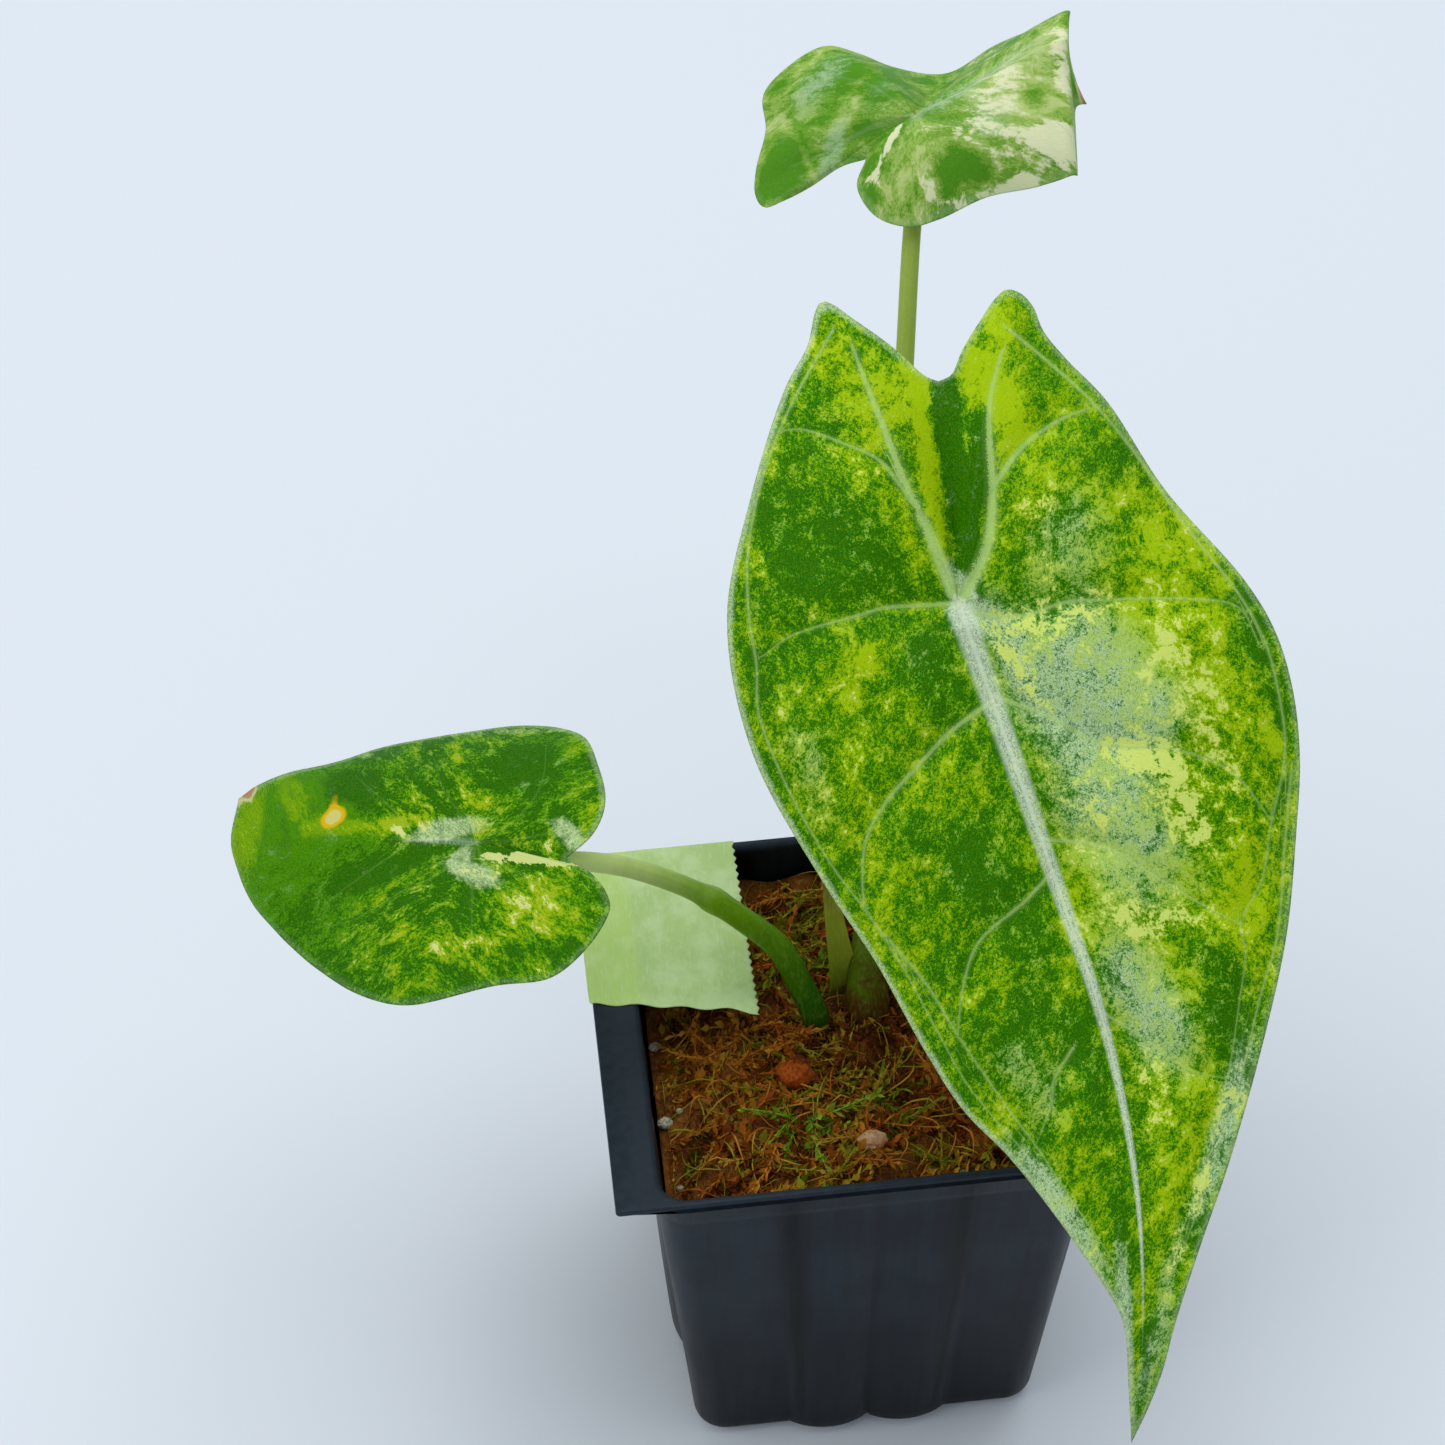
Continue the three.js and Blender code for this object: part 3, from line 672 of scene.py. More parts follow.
def sweep(points, section):
    """A closed skin along a smooth route. The section gives two offsets for shares and angles."""
    route = smooth_rows(points, stalk_steps, 3)
    tangents = np.gradient(route, axis=0)
    tangents /= np.linalg.norm(tangents, axis=1)[:, None]
    normal = np.array([1.0, 0, 0])
    normals = []
    for tangent in tangents:
        normal = normal - tangent * normal.dot(tangent)
        normal /= np.linalg.norm(normal)
        normals.append(normal)
    normals = np.array(normals)
    binormals = np.cross(tangents, normals)
    last = len(route) - 1
    bm, u, v = grid(stalk_sides, last + 2)
    row = np.round(v * (last + 2)).astype(int)
    station = np.clip(row - 1, 0, last)
    closed = ((row > 0) & (row < last + 2))[:, None]
    across, over = section(station / last, u * 2 * np.pi)
    offset = normals[station] * across[:, None] + binormals[station] * over[:, None]
    move_to(bm, *(route[station] + offset * closed).T)
    mark(bm, "share", station / last)
    weld(bm)
    return bm


def smooth_step(value, low, high):
    share = np.clip((value - low) / (high - low), 0, 1)
    return share * share * (3 - 2 * share)


def stalk_mesh(foot_place, way, blade_at, blade_up, top_radius, sheath_end, flare):
    """A stalk from its foot, along the points of its way, into the underside of its blade."""
    x, y, base_radius = foot_place
    ends = [Vector(blade_at) - blade_up * depth for depth in (blade_thickness + rib_depth + 4, 1.0)]

    def section(share, angle):
        taper = base_radius - sheath_skin + (top_radius + sheath_skin - base_radius) * share
        sheathed = 1 - smooth_step(share, sheath_end - 0.02, sheath_end + 0.02)
        radius = taper + sheath_skin * sheathed + 0.03 * np.cos(9 * angle)
        radius += flare * (1 - smooth_step(share, 0.3, 0.46))
        radius += 0.25 * sheathed * smooth_step(np.cos(angle - 1.2), 0.55, 1)
        radius += 0.4 * math.exp(-0.5 * flare) * np.exp(-((share - sheath_end) / 0.016) ** 2)
        radius += 0.5 * smooth_step(share, 0.975, 1)
        return radius * np.cos(angle), radius * np.sin(angle)

    return sweep([*buried(x, y), *way, *ends], section)


def stalk_finish(name, tones):
    """A juicy stalk: its colour from foot to top, with pale lengthwise streaks and a soft sheen."""
    skin = Finish(name, {"Roughness": 0.45, "Subsurface Weight": 0.2, "Subsurface Radius": (0.6, 1.0, 0.3),
                         "Subsurface Scale": 0.0015, "Specular IOR Level": 0.06})
    where = skin.place()
    share = skin.attribute("share") + (skin.noise(where, 4, 3) - 0.5) * 0.12
    streak = skin.noise(skin.stretched(where, (1, 1, 0.12)), 0.5, 3)
    base = skin.ramp(share, *tones)
    fleck = skin.rise(skin.noise(where, 0.7, 4, 0.7), 0.58, 0.7)
    pale = skin.rise(streak, 0.45, 0.7) * 0.14 + fleck * 0.06
    skin.set("Base Color", skin.mix(pale, base, "bccb6a"))
    skin.bump(streak * 0.6 + skin.noise(where, 0.25, 2) * 0.4, 0.08)
    return skin


front_at = (16.7, 18.6, 158)
front_axes = axes(-73, 35, 13)
left_at = (-55.5, 7.2, 126.5)
left_axes = axes(158, 18, 0)
back_at = (19.8, 90.5, 184.7)
back_axes = axes(25, -14.7, 0)
left_way = [
    (-7.3, 4.8, 83), (-10.3, 7.4, 90), (-15.6, 9.3, 96), (-22.3, 10.7, 102.7),
    (-31.3, 10.5, 110.5), (-37.3, 9.2, 115.4), (-43.3, 7.6, 119.2), (-49.5, 6.8, 121),
]
front_way = [(9.2, 13, 98), (11.5, 19, 122), (15, 23.5, 140)]
back_way = [(7.5, 25.3, 102), (11.4, 43.5, 128.7), (15.6, 65.8, 158), (18.4, 80, 173)]
# Each stalk's way, its blade's joint and directions, the radius at its top, the share of its length
# where its sheath ends, how much its foot swells, and its colours from foot to top.
# The dark olive and brown at each stalk's foot is partly the stalk's own colour and partly painted shade,
# where the feet stand together under the leaves.
stalks = [
    ("left", left_way, left_at, left_axes, 1.4, 0.52, 0.2,
     [(0.2, "2b4d00"), (0.3, "326800"), (0.5, "74a208"), (0.68, "d0e08a")]),
    ("front", front_way, front_at, front_axes, 1.5, 0.4, 1.3,
     [(0.36, "5c3c0c"), (0.4, "646a0c"), (0.6, "8fa63c"), (0.95, "a9c060")]),
    ("back", back_way, back_at, back_axes, 1.25, 0.45, 1.9,
     [(0.33, "5c3c0c"), (0.36, "5e7408"), (0.6, "96aa44"), (0.95, "a8bb5c")]),
]
for name, way, blade_at, blade_axes, top_radius, sheath_end, flare, tones in stalks:
    mesh = stalk_mesh(feet[name], way, blade_at, blade_axes[2], top_radius, sheath_end, flare)
    stalk = shown(f"{name}_stalk", mesh, stalk_finish(f"{name}_stalk", tones))
    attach(stalk, "root")
    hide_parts(f"stalk_{name}")

# The old sheath is what a spent leaf leaves behind: a narrow pointed strip, hollow on one side and
# drying to pale straw, that leans out from between the stalks.
sheath_x, sheath_y, sheath_radius = feet["sheath"]
sheath_spread = 1.4
husk_half = 0.32


def sheath_section(share, angle):
    half = sheath_radius * sheath_spread * (1 - 0.7 * share ** 2)
    across = half * np.cos(angle)
    return across, husk_half * np.sin(angle) + 0.25 * half - 0.35 * across * across / half


lean = [(sheath_x - 1.1, sheath_y + 1.4, 88), (sheath_x - 2.6, sheath_y + 2.8, 103)]
husk = Finish("dry_sheath", {"Roughness": 0.55, "Subsurface Weight": 0.15, "Subsurface Scale": 0.001,
                             "Specular IOR Level": 0.08})
where = husk.place()
share = husk.attribute("share") + (husk.noise(where, 3, 3) - 0.5) * 0.15
lines = husk.noise(husk.stretched(where, (1, 1, 0.06)), 0.35, 3)
base = husk.ramp(share, (0.0, "4a3218"), (0.3, "76700f"), (0.5, "98a41c"), (0.85, "b0bc34"),
                 (1.0, "8f8232"))
husk.set("Base Color", husk.mix(husk.rise(lines, 0.45, 0.7) * 0.3, base, "cfd070"))
husk.bump(lines, 0.12)
sheath = shown("old_sheath", sweep([*buried(sheath_x, sheath_y), *lean], sheath_section), husk)
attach(sheath, "root")
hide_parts("stem_sheath")

# The front leaf is a long arrow-shaped blade, thick and leathery, that hangs from its stalk towards
# the viewer. Its veins are pale, and its green is mottled with yellow and, on one side, with silver
# that is partly its own and partly painted sheen, a painted reflection of the bright room.
leaf_rim = 0.3
thinnest = 0.45
vein_halo = 1.7
vein_groove = 0.8
wave_height = 0.4
ripple_height = 0.2
ripples = 9
flick_start = 6
front_length = 124
# An outline row is its reach along the midrib and to the left of it, then the height of the margin
# and the height halfway in.
front_rows = {
    "right": [
        (-31, 8, -1, -2), (-32.3, 6.5, -1, -1), (-38.2, 3.3, -2, 1), (-43.8, -0.5, -3, 2),
        (-47, -2.7, -4, 2), (-47.7, -4, -4, 2), (-46.4, -5.4, -4, 2), (-42.5, -7.8, -4, 2),
        (-37.5, -13.1, -3, 3), (-24, -23.2, -2, 3), (-8.7, -32.1, -2, 3), (10.7, -35, -2, 3),
        (31.4, -31.6, -1, 3), (45, -28.2, -1, 2.5), (59, -25.8, -1, 2), (69, -22.8, -1, 2),
        (77.7, -17.7, -1, 1.5), (88.4, -12, 0, 1), (99, -6.3, 0, 0.5), (103.8, -3.8, 0, 0.3),
        (107, -2.7, 0, 0), (116, -1.5, 0, 0), (124, 0, 0, 0),
    ],
    "left": [
        (-31, 8, -1, -2), (-31.3, 10.2, -1, -1), (-34.6, 13.3, -2, 0), (-37.6, 17, -3, 1),
        (-39.7, 19.8, -4, 2), (-40.5, 22, -4, 2), (-39.2, 23.8, -4, 2), (-36.8, 24.8, -4, 2),
        (-33, 24.9, -3, 2), (-28, 26.7, -3, 2.5), (-20.5, 30, -2, 3), (-5.5, 33.8, -2, 3),
        (10.7, 40.3, -2, 3), (19.2, 42, -2, 3), (28.5, 41.5, -2, 3), (38, 39, -1, 3),
        (47, 35.3, -1, 2.5), (60, 29.4, -1, 2), (73.3, 22.4, -1, 2), (89.5, 13.7, 0, 1),
        (99, 8.7, 0, 0.5), (108, 5.1, 0, 0), (115, 3.4, 0, 0), (120, 1.7, 0, 0), (124, 0, 0, 0),
    ],
}
front_bend = {"bow": 0.0034, "bow_start": 55, "turn": 0, "start": 92, "radius": 90, "most": 30, "flick": 0}
# Each vein is its half width at its root and its points from there on.
front_veins = [
    (1.15, [(0, 0), (-6, -0.5), (-12, -0.8), (-18, -1.6), (-26, -1.8), (-33, -2), (-40, -2)]),
    (0.42, [(-14, -1), (-19, -2.5), (-23, -4), (-27, -8), (-31, -13), (-32, -17)]),
    (0.42, [(0, 0), (-1, -4), (-2.7, -10), (-3, -15), (-3.4, -20), (-3.3, -25), (-2, -29)]),
    (0.45, [
        (15, 0), (17, -7), (20, -13), (23, -18.5), (27.3, -23.5), (32.6, -26), (37, -27), (41, -26),
    ]),
    (0.36, [(41, 0), (43.5, -5), (47, -13.5), (52, -17.5), (56, -19.5), (58.6, -20.5)]),
    (0.3, [(66, -5.5), (69.4, -9.2), (72, -10), (75.7, -12.5)]),
    (0.27, [
        (-43, -4), (-35, -13), (-27, -20), (-17, -26), (-8, -29), (-1, -30.3), (5, -32.2), (12, -32.3),
        (20, -31.5), (30, -29.5), (38, -27), (46, -25), (58, -23), (65, -21.5), (71, -19), (79, -14.7),
        (87, -11), (95, -6.5), (103, -1.5),
    ]),
    (0.26, [
        (41, -26), (50, -22.5), (58.6, -20.6), (65, -18.6), (72, -16), (78, -13.3), (86, -9.9),
        (96, -4.7), (104, -0.6),
    ]),
    (1.1, [(0, 0), (-3, 3.6), (-7, 7), (-14, 10), (-21, 12), (-26, 14), (-32, 18)]),
    (0.55, [(-14, 10), (-18, 16), (-20, 23), (-20, 29)]),
    (0.45, [(0, 0), (3, 3), (5, 9), (5, 14), (7, 21), (10, 30), (14, 38), (20, 39)]),
    (0.42, [(14, 0), (19, 6), (26, 13), (30, 22), (36, 29), (44, 32)]),
    (0.36, [(36, 0), (40, 8), (47, 14), (54, 20), (57, 23)]),
    (0.3, [(62, 0), (68, 5), (74, 10), (77.4, 15.6)]),
    (0.3, [
        (-35, 20), (-23, 27), (-13, 31), (1, 35), (13, 38.9), (21, 40), (28, 39.3), (34.5, 37.9),
        (39.4, 35.5), (44.9, 32), (52.2, 28), (56.9, 23.1), (61, 22.5), (67, 20), (77.4, 15.6),
        (86, 11.3), (96, 6.1), (103, 1.8),
    ]),
    (0.28, [
        (38.5, 37.5), (49, 32.7), (60.6, 27.6), (67.8, 23), (78.5, 17.3), (86.4, 12.7), (96, 7.5),
        (104, 3),
    ]),
]
# Each patch is its middle, its half lengths along and across, its turn and its amount.
front_patches = {
    "yellow": [
        (-18, 2.2, 15, 1.6, -13, 0.9), (-31, 0, 7, 3.5, -30, 0.4), (30, 20, 24, 13, 0, 0.26),
        (12, 30, 14, 9, 0, 0.14), (62, 8, 26, 9, 0, 0.22), (-26, 15, 10, 4, 12, 0.3),
        (-9, -4, 8, 1.6, 0, 0.4), (-25, 14.5, 10, 4, 12, 0.5), (-36, 20, 4, 3, 0, 0.4),
        (1, -18, 4, 7, 0, 0.25), (3, -15, 2.2, 1.6, 0, 0.5), (8, -18, 1.6, 3, 0, 0.4),
        (30, 34, 14, 5, 10, 0.16), (52, 26, 7, 4, -20, 0.5), (34, 36, 2, 1.4, 0, 0.7),
        (80, -8, 9, 4, 20, 0.34), (-38, -4, 6, 4, 0, 0.3), (25, -10, 10, 7, 20, 0.1),
        (38, -23, 12, 4, 0, 0.2), (60, -19, 14, 4, 10, 0.15), (4, 31, 14, 9, 0, 0.22),
        (-14, 14, 6, 4, 0, 0.2), (88, 4, 8, 3, 0, 0.1), (110, 1, 12, 5, 0, 0.16),
        (-10, 22, 12, 8, 0, 0.2), (46, 12, 22, 14, 0, 0.16), (82, 8, 14, 6, -20, 0.2),
        (-32, 12, 8, 10, 0, 0.22), (-34, -3, 10, 8, 0, 0.14), (-30, 4.6, 9, 1.2, -24, 0.5),
        (16, 24, 10, 6, 30, 0.3),
    ],
    # The first three dark patches run down the groove between the basal ribs: partly the leaf's own dark
    # green, partly painted shade on the groove's shaded side.
    "dark": [
        (-19, 9.6, 12, 1.5, -24, 1.2), (-16, 5.6, 14, 1.4, -10, 2.6), (-27, 8, 5, 2.2, -20, 1.6),
        (-12, -17, 12, 7, 0, 0.5), (34, -11, 8, 7, 20, 0.36), (45, -8, 9, 6, 15, 0.42),
        (58, -9, 8, 6, 10, 0.2), (22, 39, 12, 2, 0, 0.4), (66, 17, 9, 4, 0, 0.6),
        (82, 2, 12, 2, 0, 0.3), (7, -7, 6, 4, 0, 0.5), (97, -2.5, 9, 1.4, 0, 0.5),
        (-34, -9, 6, 4, -40, 0.3), (60, -13, 6, 5, 0, 0.15), (112, 0.6, 8, 0.9, 0, 0.7),
        (76, -3, 12, 2.5, 0, 0.4),
    ],
    "pale": [
        (30, 26, 16, 9, 0, 0.3), (29, 17, 5.5, 2.8, 48, 0.7), (6, 14, 3, 10, -8, 0.42),
        (33, 8, 6, 4, 40, 0.42), (52, 11, 4, 8, -25, 0.5), (12, 5, 8, 1.6, 15, 0.5),
        (75, 5, 12, 3, 0, 0.28), (40, 20, 9, 4, 30, 0.36), (-8, 16, 6, 4, 0, 0.3),
        (14, 28, 8, 5, 0, 0.3), (78, 17, 10, 2.0, -28, 0.4), (93, 8.5, 10, 1.8, -26, 0.45),
    ],
    # These silver patches are partly the leaf's own silver and partly painted sheen: a painted reflection
    # of the bright room on the half of the blade that faces it.
    "silver": [
        (19, 15, 15, 11, 30, 0.95), (40, 11, 14, 8, 20, 0.7), (63, 7, 14, 5.5, 10, 0.75),
        (-2, 0.8, 4.5, 1.8, 10, 1.1), (2.6, 1.6, 4, 2.2, 20, 0.8), (2, -1.6, 3, 1, 0, 0.6),
        (-4, 18, 8, 7, 0, 0.4), (69, -12, 8, 4, 20, 0.4), (15, -28, 8, 3, 0, 0.35),
        (86, -11.5, 14, 1.6, 27, 0.8), (84, 14, 14, 2.6, -28, 0.75), (8, 5, 8, 2.5, 0, 0.5),
        (108, 2.6, 12, 2, -12, 0.5), (106, -2.6, 14, 1.2, 4, 0.7),
    ],
    "calm": [
        (-28, 24, 14, 9, 20, 0.3),
    ],
}


def fold_down(s, t, h, bend):
    """Turns what lies past the start line down, then runs straight on and flicks the end out."""
    turn = np.radians(bend["turn"])
    across = s * np.cos(turn) + t * np.sin(turn)
    beside = t * np.cos(turn) - s * np.sin(turn)
    most = np.radians(bend["most"])
    past = np.maximum(across - bend["start"], 0)
    angle = np.minimum(past / bend["radius"], most)
    straight = np.maximum(0, past - bend["radius"] * most)
    out = bend["start"] + bend["radius"] * np.sin(angle) + straight * np.cos(angle)
    out = out + bend["flick"] * np.maximum(0, straight - flick_start) ** 2
    height = h - bend["radius"] * (1 - np.cos(angle)) - straight * np.sin(angle)
    out = np.where(past > 0, out, across)
    return out * np.cos(turn) - beside * np.sin(turn), out * np.sin(turn) + beside * np.cos(turn), height


def even_outline(rows, steps):
    """The outline rows at even steps along the curve through them, from the notch to the tip."""
    fine = smooth_rows(rows, 40, 2)
    run = np.concatenate([[0], np.cumsum(np.linalg.norm(np.diff(fine[:, :2], axis=0), axis=1))])
    wanted = np.linspace(0, run[-1], steps + 1)
    return np.stack([np.interp(wanted, run, column) for column in fine.T], 1)


def to_segment(s, t, first, second):
    """How far along a segment each point's nearest place is, and the way from there to the point."""
    step = second - first
    from_s, from_t = s - first[0], t - first[1]
    share = np.clip((from_s * step[0] + from_t * step[1]) / step.dot(step), 0, 1)
    return share, from_s - share * step[0], from_t - share * step[1]


def nearest_vein(s, t, veins):
    """For each point the nearest vein's distance, the side it lies on, and its half width there."""
    best = np.full(len(s), 99.0)
    side = np.ones(len(s))
    width = np.zeros(len(s))
    for half, points in veins:
        line = smooth_rows(points, 6, 2)
        run = np.linspace(0, 1, len(line))
        for k in range(len(line) - 1):
            step = line[k + 1] - line[k]
            share, away_s, away_t = to_segment(s, t, line[k], line[k + 1])
            distance = np.hypot(away_s, away_t)
            closer = distance < best
            best = np.where(closer, distance, best)
            side = np.where(closer, np.where(step[0] * away_t - step[1] * away_s < 0, -1, 1), side)
            thin = half * (1 - 0.75 * (run[k] + share / len(line)))
            width = np.where(closer, thin, width)
    return best, side, width


def margin_distance(s, t, outline):
    """How far each point lies from the blade's outline."""
    best = np.full(len(s), 99.0)
    for first, second in zip(outline[:-1, :2], outline[1:, :2]):
        best = np.minimum(best, np.hypot(*to_segment(s, t, first, second)[1:]))
    return best


def leaf_mesh(rows, bend, veins, patches, at, directions, columns, rings, rib_size, puff):
    """A blade's upper face, with the fields that its finish and its thickness read."""
    right = even_outline(rows["right"], columns // 2)
    left = even_outline(rows["left"], columns - columns // 2)
    outline = np.vstack([right, left[-2::-1]])
    length = rows["right"][-1][0]
    bm, u, v = grid(columns, rings)
    ray = outline[np.round(u * columns).astype(int)]
    flat_s, flat_t = v * ray[:, 0], v * ray[:, 1]
    distance, side, width = nearest_vein(flat_s, flat_t, veins)
    edge = np.where(v == 1, 0, margin_distance(flat_s, flat_t, outline[::3]))
    rib_half, rib_reach = rib_size
    rib = rib_half * np.clip(1 - flat_s / rib_reach, 0, 1) ** 1.1 * smooth_step(flat_s, -2, 1.5)
    inside = smooth_step(edge, 0, 5)
    pillow = puff * (1 - np.exp(-(distance / 3.2) ** 2)) * (1 - np.exp(-(flat_t / 4) ** 2)) * inside
    sunk = width * np.exp(-(distance / vein_groove) ** 2)
    wave = wave_height * np.sin(flat_s * 0.21 + 2) * np.sin(flat_t * 0.33 + 1) * inside
    ripple = ripple_height * v ** 6 * np.sin(u * 2 * np.pi * ripples + 1)
    # Out from the joint the height is a parabola through the height halfway and the margin's.
    h = 4 * ray[:, 3] * v * (1 - v) + ray[:, 2] * v * (2 * v - 1)
    h += pillow - 0.5 * sunk + (wave + ripple) * length / front_length
    ridge = np.exp(-(flat_t / (0.6 * rib + 0.2)) ** 2)
    ridge -= 0.8 * np.exp(-((flat_t - 1.5 * rib) / (0.5 * rib + 0.2)) ** 2)
    h += 0.22 * rib * ridge * smooth_step(flat_s, 0, 6)
    t = flat_t - bend["bow"] * np.maximum(0, flat_s - bend["bow_start"]) ** 2
    s, t, h = fold_down(flat_s, t, h, bend)
    along, to_left, up = (np.array(direction) for direction in directions)
    points = np.array(at) + s[:, None] * along + t[:, None] * to_left + h[:, None] * up
    move_to(bm, *points.T)
    near = np.exp(-(distance / vein_halo) ** 2)
    under_rib = rib_depth * np.exp(-(flat_t / 1.5) ** 2) * np.clip(1 - flat_s / length, 0, 1) * (flat_s > 0)
    under_rib = np.maximum(under_rib, rib_depth * np.exp(-(flat_s / 3) ** 2 - (flat_t / 3) ** 2))
    flesh = leaf_rim + (thinnest - leaf_rim) * smooth_step(edge, 0, 1.5)
    fields = {
        "vein": side * np.minimum(distance, 6), "width": width * smooth_step(near, 0.3, 0.6),
        "rib": flat_t, "rib_width": rib, "edge": edge,
        "thick": (flesh + np.maximum(under_rib, 1.1 * sunk)) / (thinnest + rib_depth),
    }
    for field in ("yellow", "pale", "silver", "dark", "calm", "gold", "dry"):
        fields[field] = np.zeros(len(s))
        for mid_s, mid_t, half_s, half_t, turn, amount in patches.get(field, []):
            turn = np.radians(turn)
            x = ((flat_s - mid_s) * np.cos(turn) + (flat_t - mid_t) * np.sin(turn)) / half_s
            y = ((flat_t - mid_t) * np.cos(turn) - (flat_s - mid_s) * np.sin(turn)) / half_t
            fields[field] += amount * np.exp(-(x * x + y * y) ** 1.5)
    # Patterns run outwards with the side veins, so they are laid out along and across those.
    out_s, out_t = np.abs(flat_s), np.abs(flat_t)
    fields["cross"] = (out_s - out_t) * 0.7
    fields["out"] = (out_s + out_t) * 0.7
    fields["drift"] = 0.31 * flat_s + 0.83 * flat_t
    for name, values in fields.items():
        mark(bm, name, values)
    bmesh.ops.remove_doubles(bm, verts=bm.verts, dist=2e-6)
    middle = sum((face.normal * face.calc_area() for face in bm.faces), Vector())
    if middle.dot(Vector(up)) < 0:
        bmesh.ops.reverse_faces(bm, faces=bm.faces)
    return bm


def leaf_top(name, tones, silver_sheen_tone, vein_tone, mottle=0.0, stretch=0.8, rib_show=1.0, line_show=1.0,
             fine=1.0, blur=0.05, powdery=2.4):
    """The upper skin: greens from dark to yellow under finer and finer flecks, with pale veins."""
    skin = Finish(name, {"Subsurface Weight": 0.1, "Subsurface Radius": (0.5, 1.0, 0.25),
                         "Subsurface Scale": 0.001, "Specular IOR Level": 0.04})
    along, across = skin.attribute("out") * stretch, skin.attribute("cross")
    inputs = {"X": across, "Y": along, "Z": skin.attribute("drift") * 0.6}
    lay = skin.node("ShaderNodeCombineXYZ", {}, inputs)
    cloud = skin.noise(lay, 7, 1, 0.5) - 0.5
    blotch = skin.noise(lay, 2.3, 6, 0.68, 0.4) - 0.5
    speck = (skin.noise(lay, 0.45, 3, 0.7) - 0.5) * fine
    grain = (skin.noise(lay, 0.19, 1, 0.5) - 0.5) * fine
    lively = 1 - skin.attribute("calm")
    dark_here = skin.attribute("dark")
    uneven = (cloud * 0.75 + blotch * 2.1) * lively
    patchy = uneven + skin.attribute("yellow") * 0.6 - dark_here * 0.5 + mottle
    level = 0.5 + patchy + (speck * 1.3 + grain * 0.6) * lively
    dark, middle, bright, glow, cream = tones
    greens = skin.ramp(level, (0.33, dark), (0.41, middle), (0.51, middle), (0.58, bright), (0.76, bright),
                       (0.86, glow))
    dusty = skin.rise(grain + speck * 0.3, -0.12, 0.12) * fine
    greens = skin.mix(dusty * 0.12, greens, glow)
    greens = skin.mix((fine - dusty) * 0.4, greens, dark)
    # Silver patches, partly the leaf's own silver and partly painted sheen, a painted reflection laid over
    # the greens in a pale tone.
    silver_and_sheen_field = skin.attribute("silver")
    powder = 0.76 + (speck + grain) * powdery + blotch * 1.3
    silver = skin.rise(silver_and_sheen_field + blotch * 2.2 + speck * 0.8, 0.1, 0.75) * powder
    coloured = skin.mix(silver * skin.rise(silver_and_sheen_field, 0.1, 0.9, 0.3, 0.9), greens, silver_sheen_tone)
    patch = skin.rise(patchy + speck * 0.9, 0.17, 0.25)
    coloured = skin.mix(patch * (0.65 - silver_and_sheen_field * 0.2), coloured, glow)
    creamy = uneven + speck * 0.9 + skin.attribute("pale") * 0.75 - dark_here * 0.4
    pale = skin.rise(creamy, 0.395 - blur, 0.395 + blur)
    coloured = skin.mix(pale * 0.9, coloured, cream)
    spot = skin.attribute("gold") + blotch * 0.5
    coloured = skin.mix(skin.rise(spot, 0.12, 0.45), coloured, "d8b00e")
    coloured = skin.mix(skin.rise(spot, 0.62, 0.8), coloured, "cfc870")
    vein = abs(skin.attribute("vein")) / (skin.attribute("width") + 0.001)
    fuzz = (speck + grain) * 1.6
    line = skin.rise(vein + fuzz, 0.55, 1.0, 1, 0)
    line = line * skin.rise(skin.attribute("width"), 0.05, 0.7, 0.35, 0.8)
    halo = skin.rise(vein + fuzz, 0.7, 2.6, 1, 0)
    coloured = skin.mix((halo * 0.12).most(line) * line_show, coloured, vein_tone)
    beside = skin.attribute("rib")
    rib = abs(beside) / (skin.attribute("rib_width") + 0.001)
    shown_rib = skin.rise(skin.attribute("rib_width"), 0.05, 0.4) * rib_show
    midrib = skin.rise(rib + fuzz * 0.3, 0.5, 1.05, 1, 0) * shown_rib
    core = skin.rise(rib, 0.08, 0.36, 1, 0) * shown_rib
    dusted = skin.rise(grain + speck * 0.5, -0.16, 0.16)
    coloured = skin.mix((midrib * (0.35 + dusted * 0.45)).most(core * 0.75), coloured, "e6f0d4")
    edge = skin.attribute("edge") + blotch * 1.4
    margin = skin.rise(edge, 0.3, 1.1, 1, 0) * skin.rise(beside, -6, 6, 1, 0.4)
    coloured = skin.mix(margin * (0.4 + dusted * 0.4) * line_show, coloured, "cfe3ac")
    crisp = skin.attribute("dry") + blotch * 0.8 + speck * 0.3
    coloured = skin.mix(skin.rise(crisp, 0.25, 0.6), coloured, "c9c688")
    coloured = skin.mix(skin.rise(crisp, 0.6, 0.85), coloured, "b08a5c")
    skin.set("Base Color", coloured)
    skin.set("Roughness", skin.rise(speck, -0.2, 0.2, 0.4, 0.52))
    skin.bump(speck * 0.5 + grain * 0.3 + line * 0.3 + midrib * 0.35 + blotch * 0.3, 0.25)
    return skin


def leaf_under(name, green, pale):
    """The lower skin: paler and duller than the upper one, with the veins standing out."""
    skin = Finish(name, {"Roughness": 0.55, "Subsurface Weight": 0.12, "Specular IOR Level": 0.35,
                         "Subsurface Radius": (0.5, 1.0, 0.25), "Subsurface Scale": 0.0012})
    where = skin.place()
    blotch = skin.noise(where, 3, 5, 0.7, 0.4)
    base = skin.mix(skin.rise(blotch, 0.4, 0.6), green, pale)
    vein = abs(skin.attribute("vein")) / (skin.attribute("width") + 0.001)
    rib = abs(skin.attribute("rib")) / (skin.attribute("rib_width") + 0.001)
    raised = skin.rise(vein, 0.7, 2.2, 1, 0).most(skin.rise(rib, 0.6, 1.1, 1, 0))
    skin.set("Base Color", skin.mix(raised * 0.7, base, "b7cc86"))
    skin.bump(skin.noise(where, 0.4, 3) * 0.5 + raised * 0.5, 0.15)
    return skin


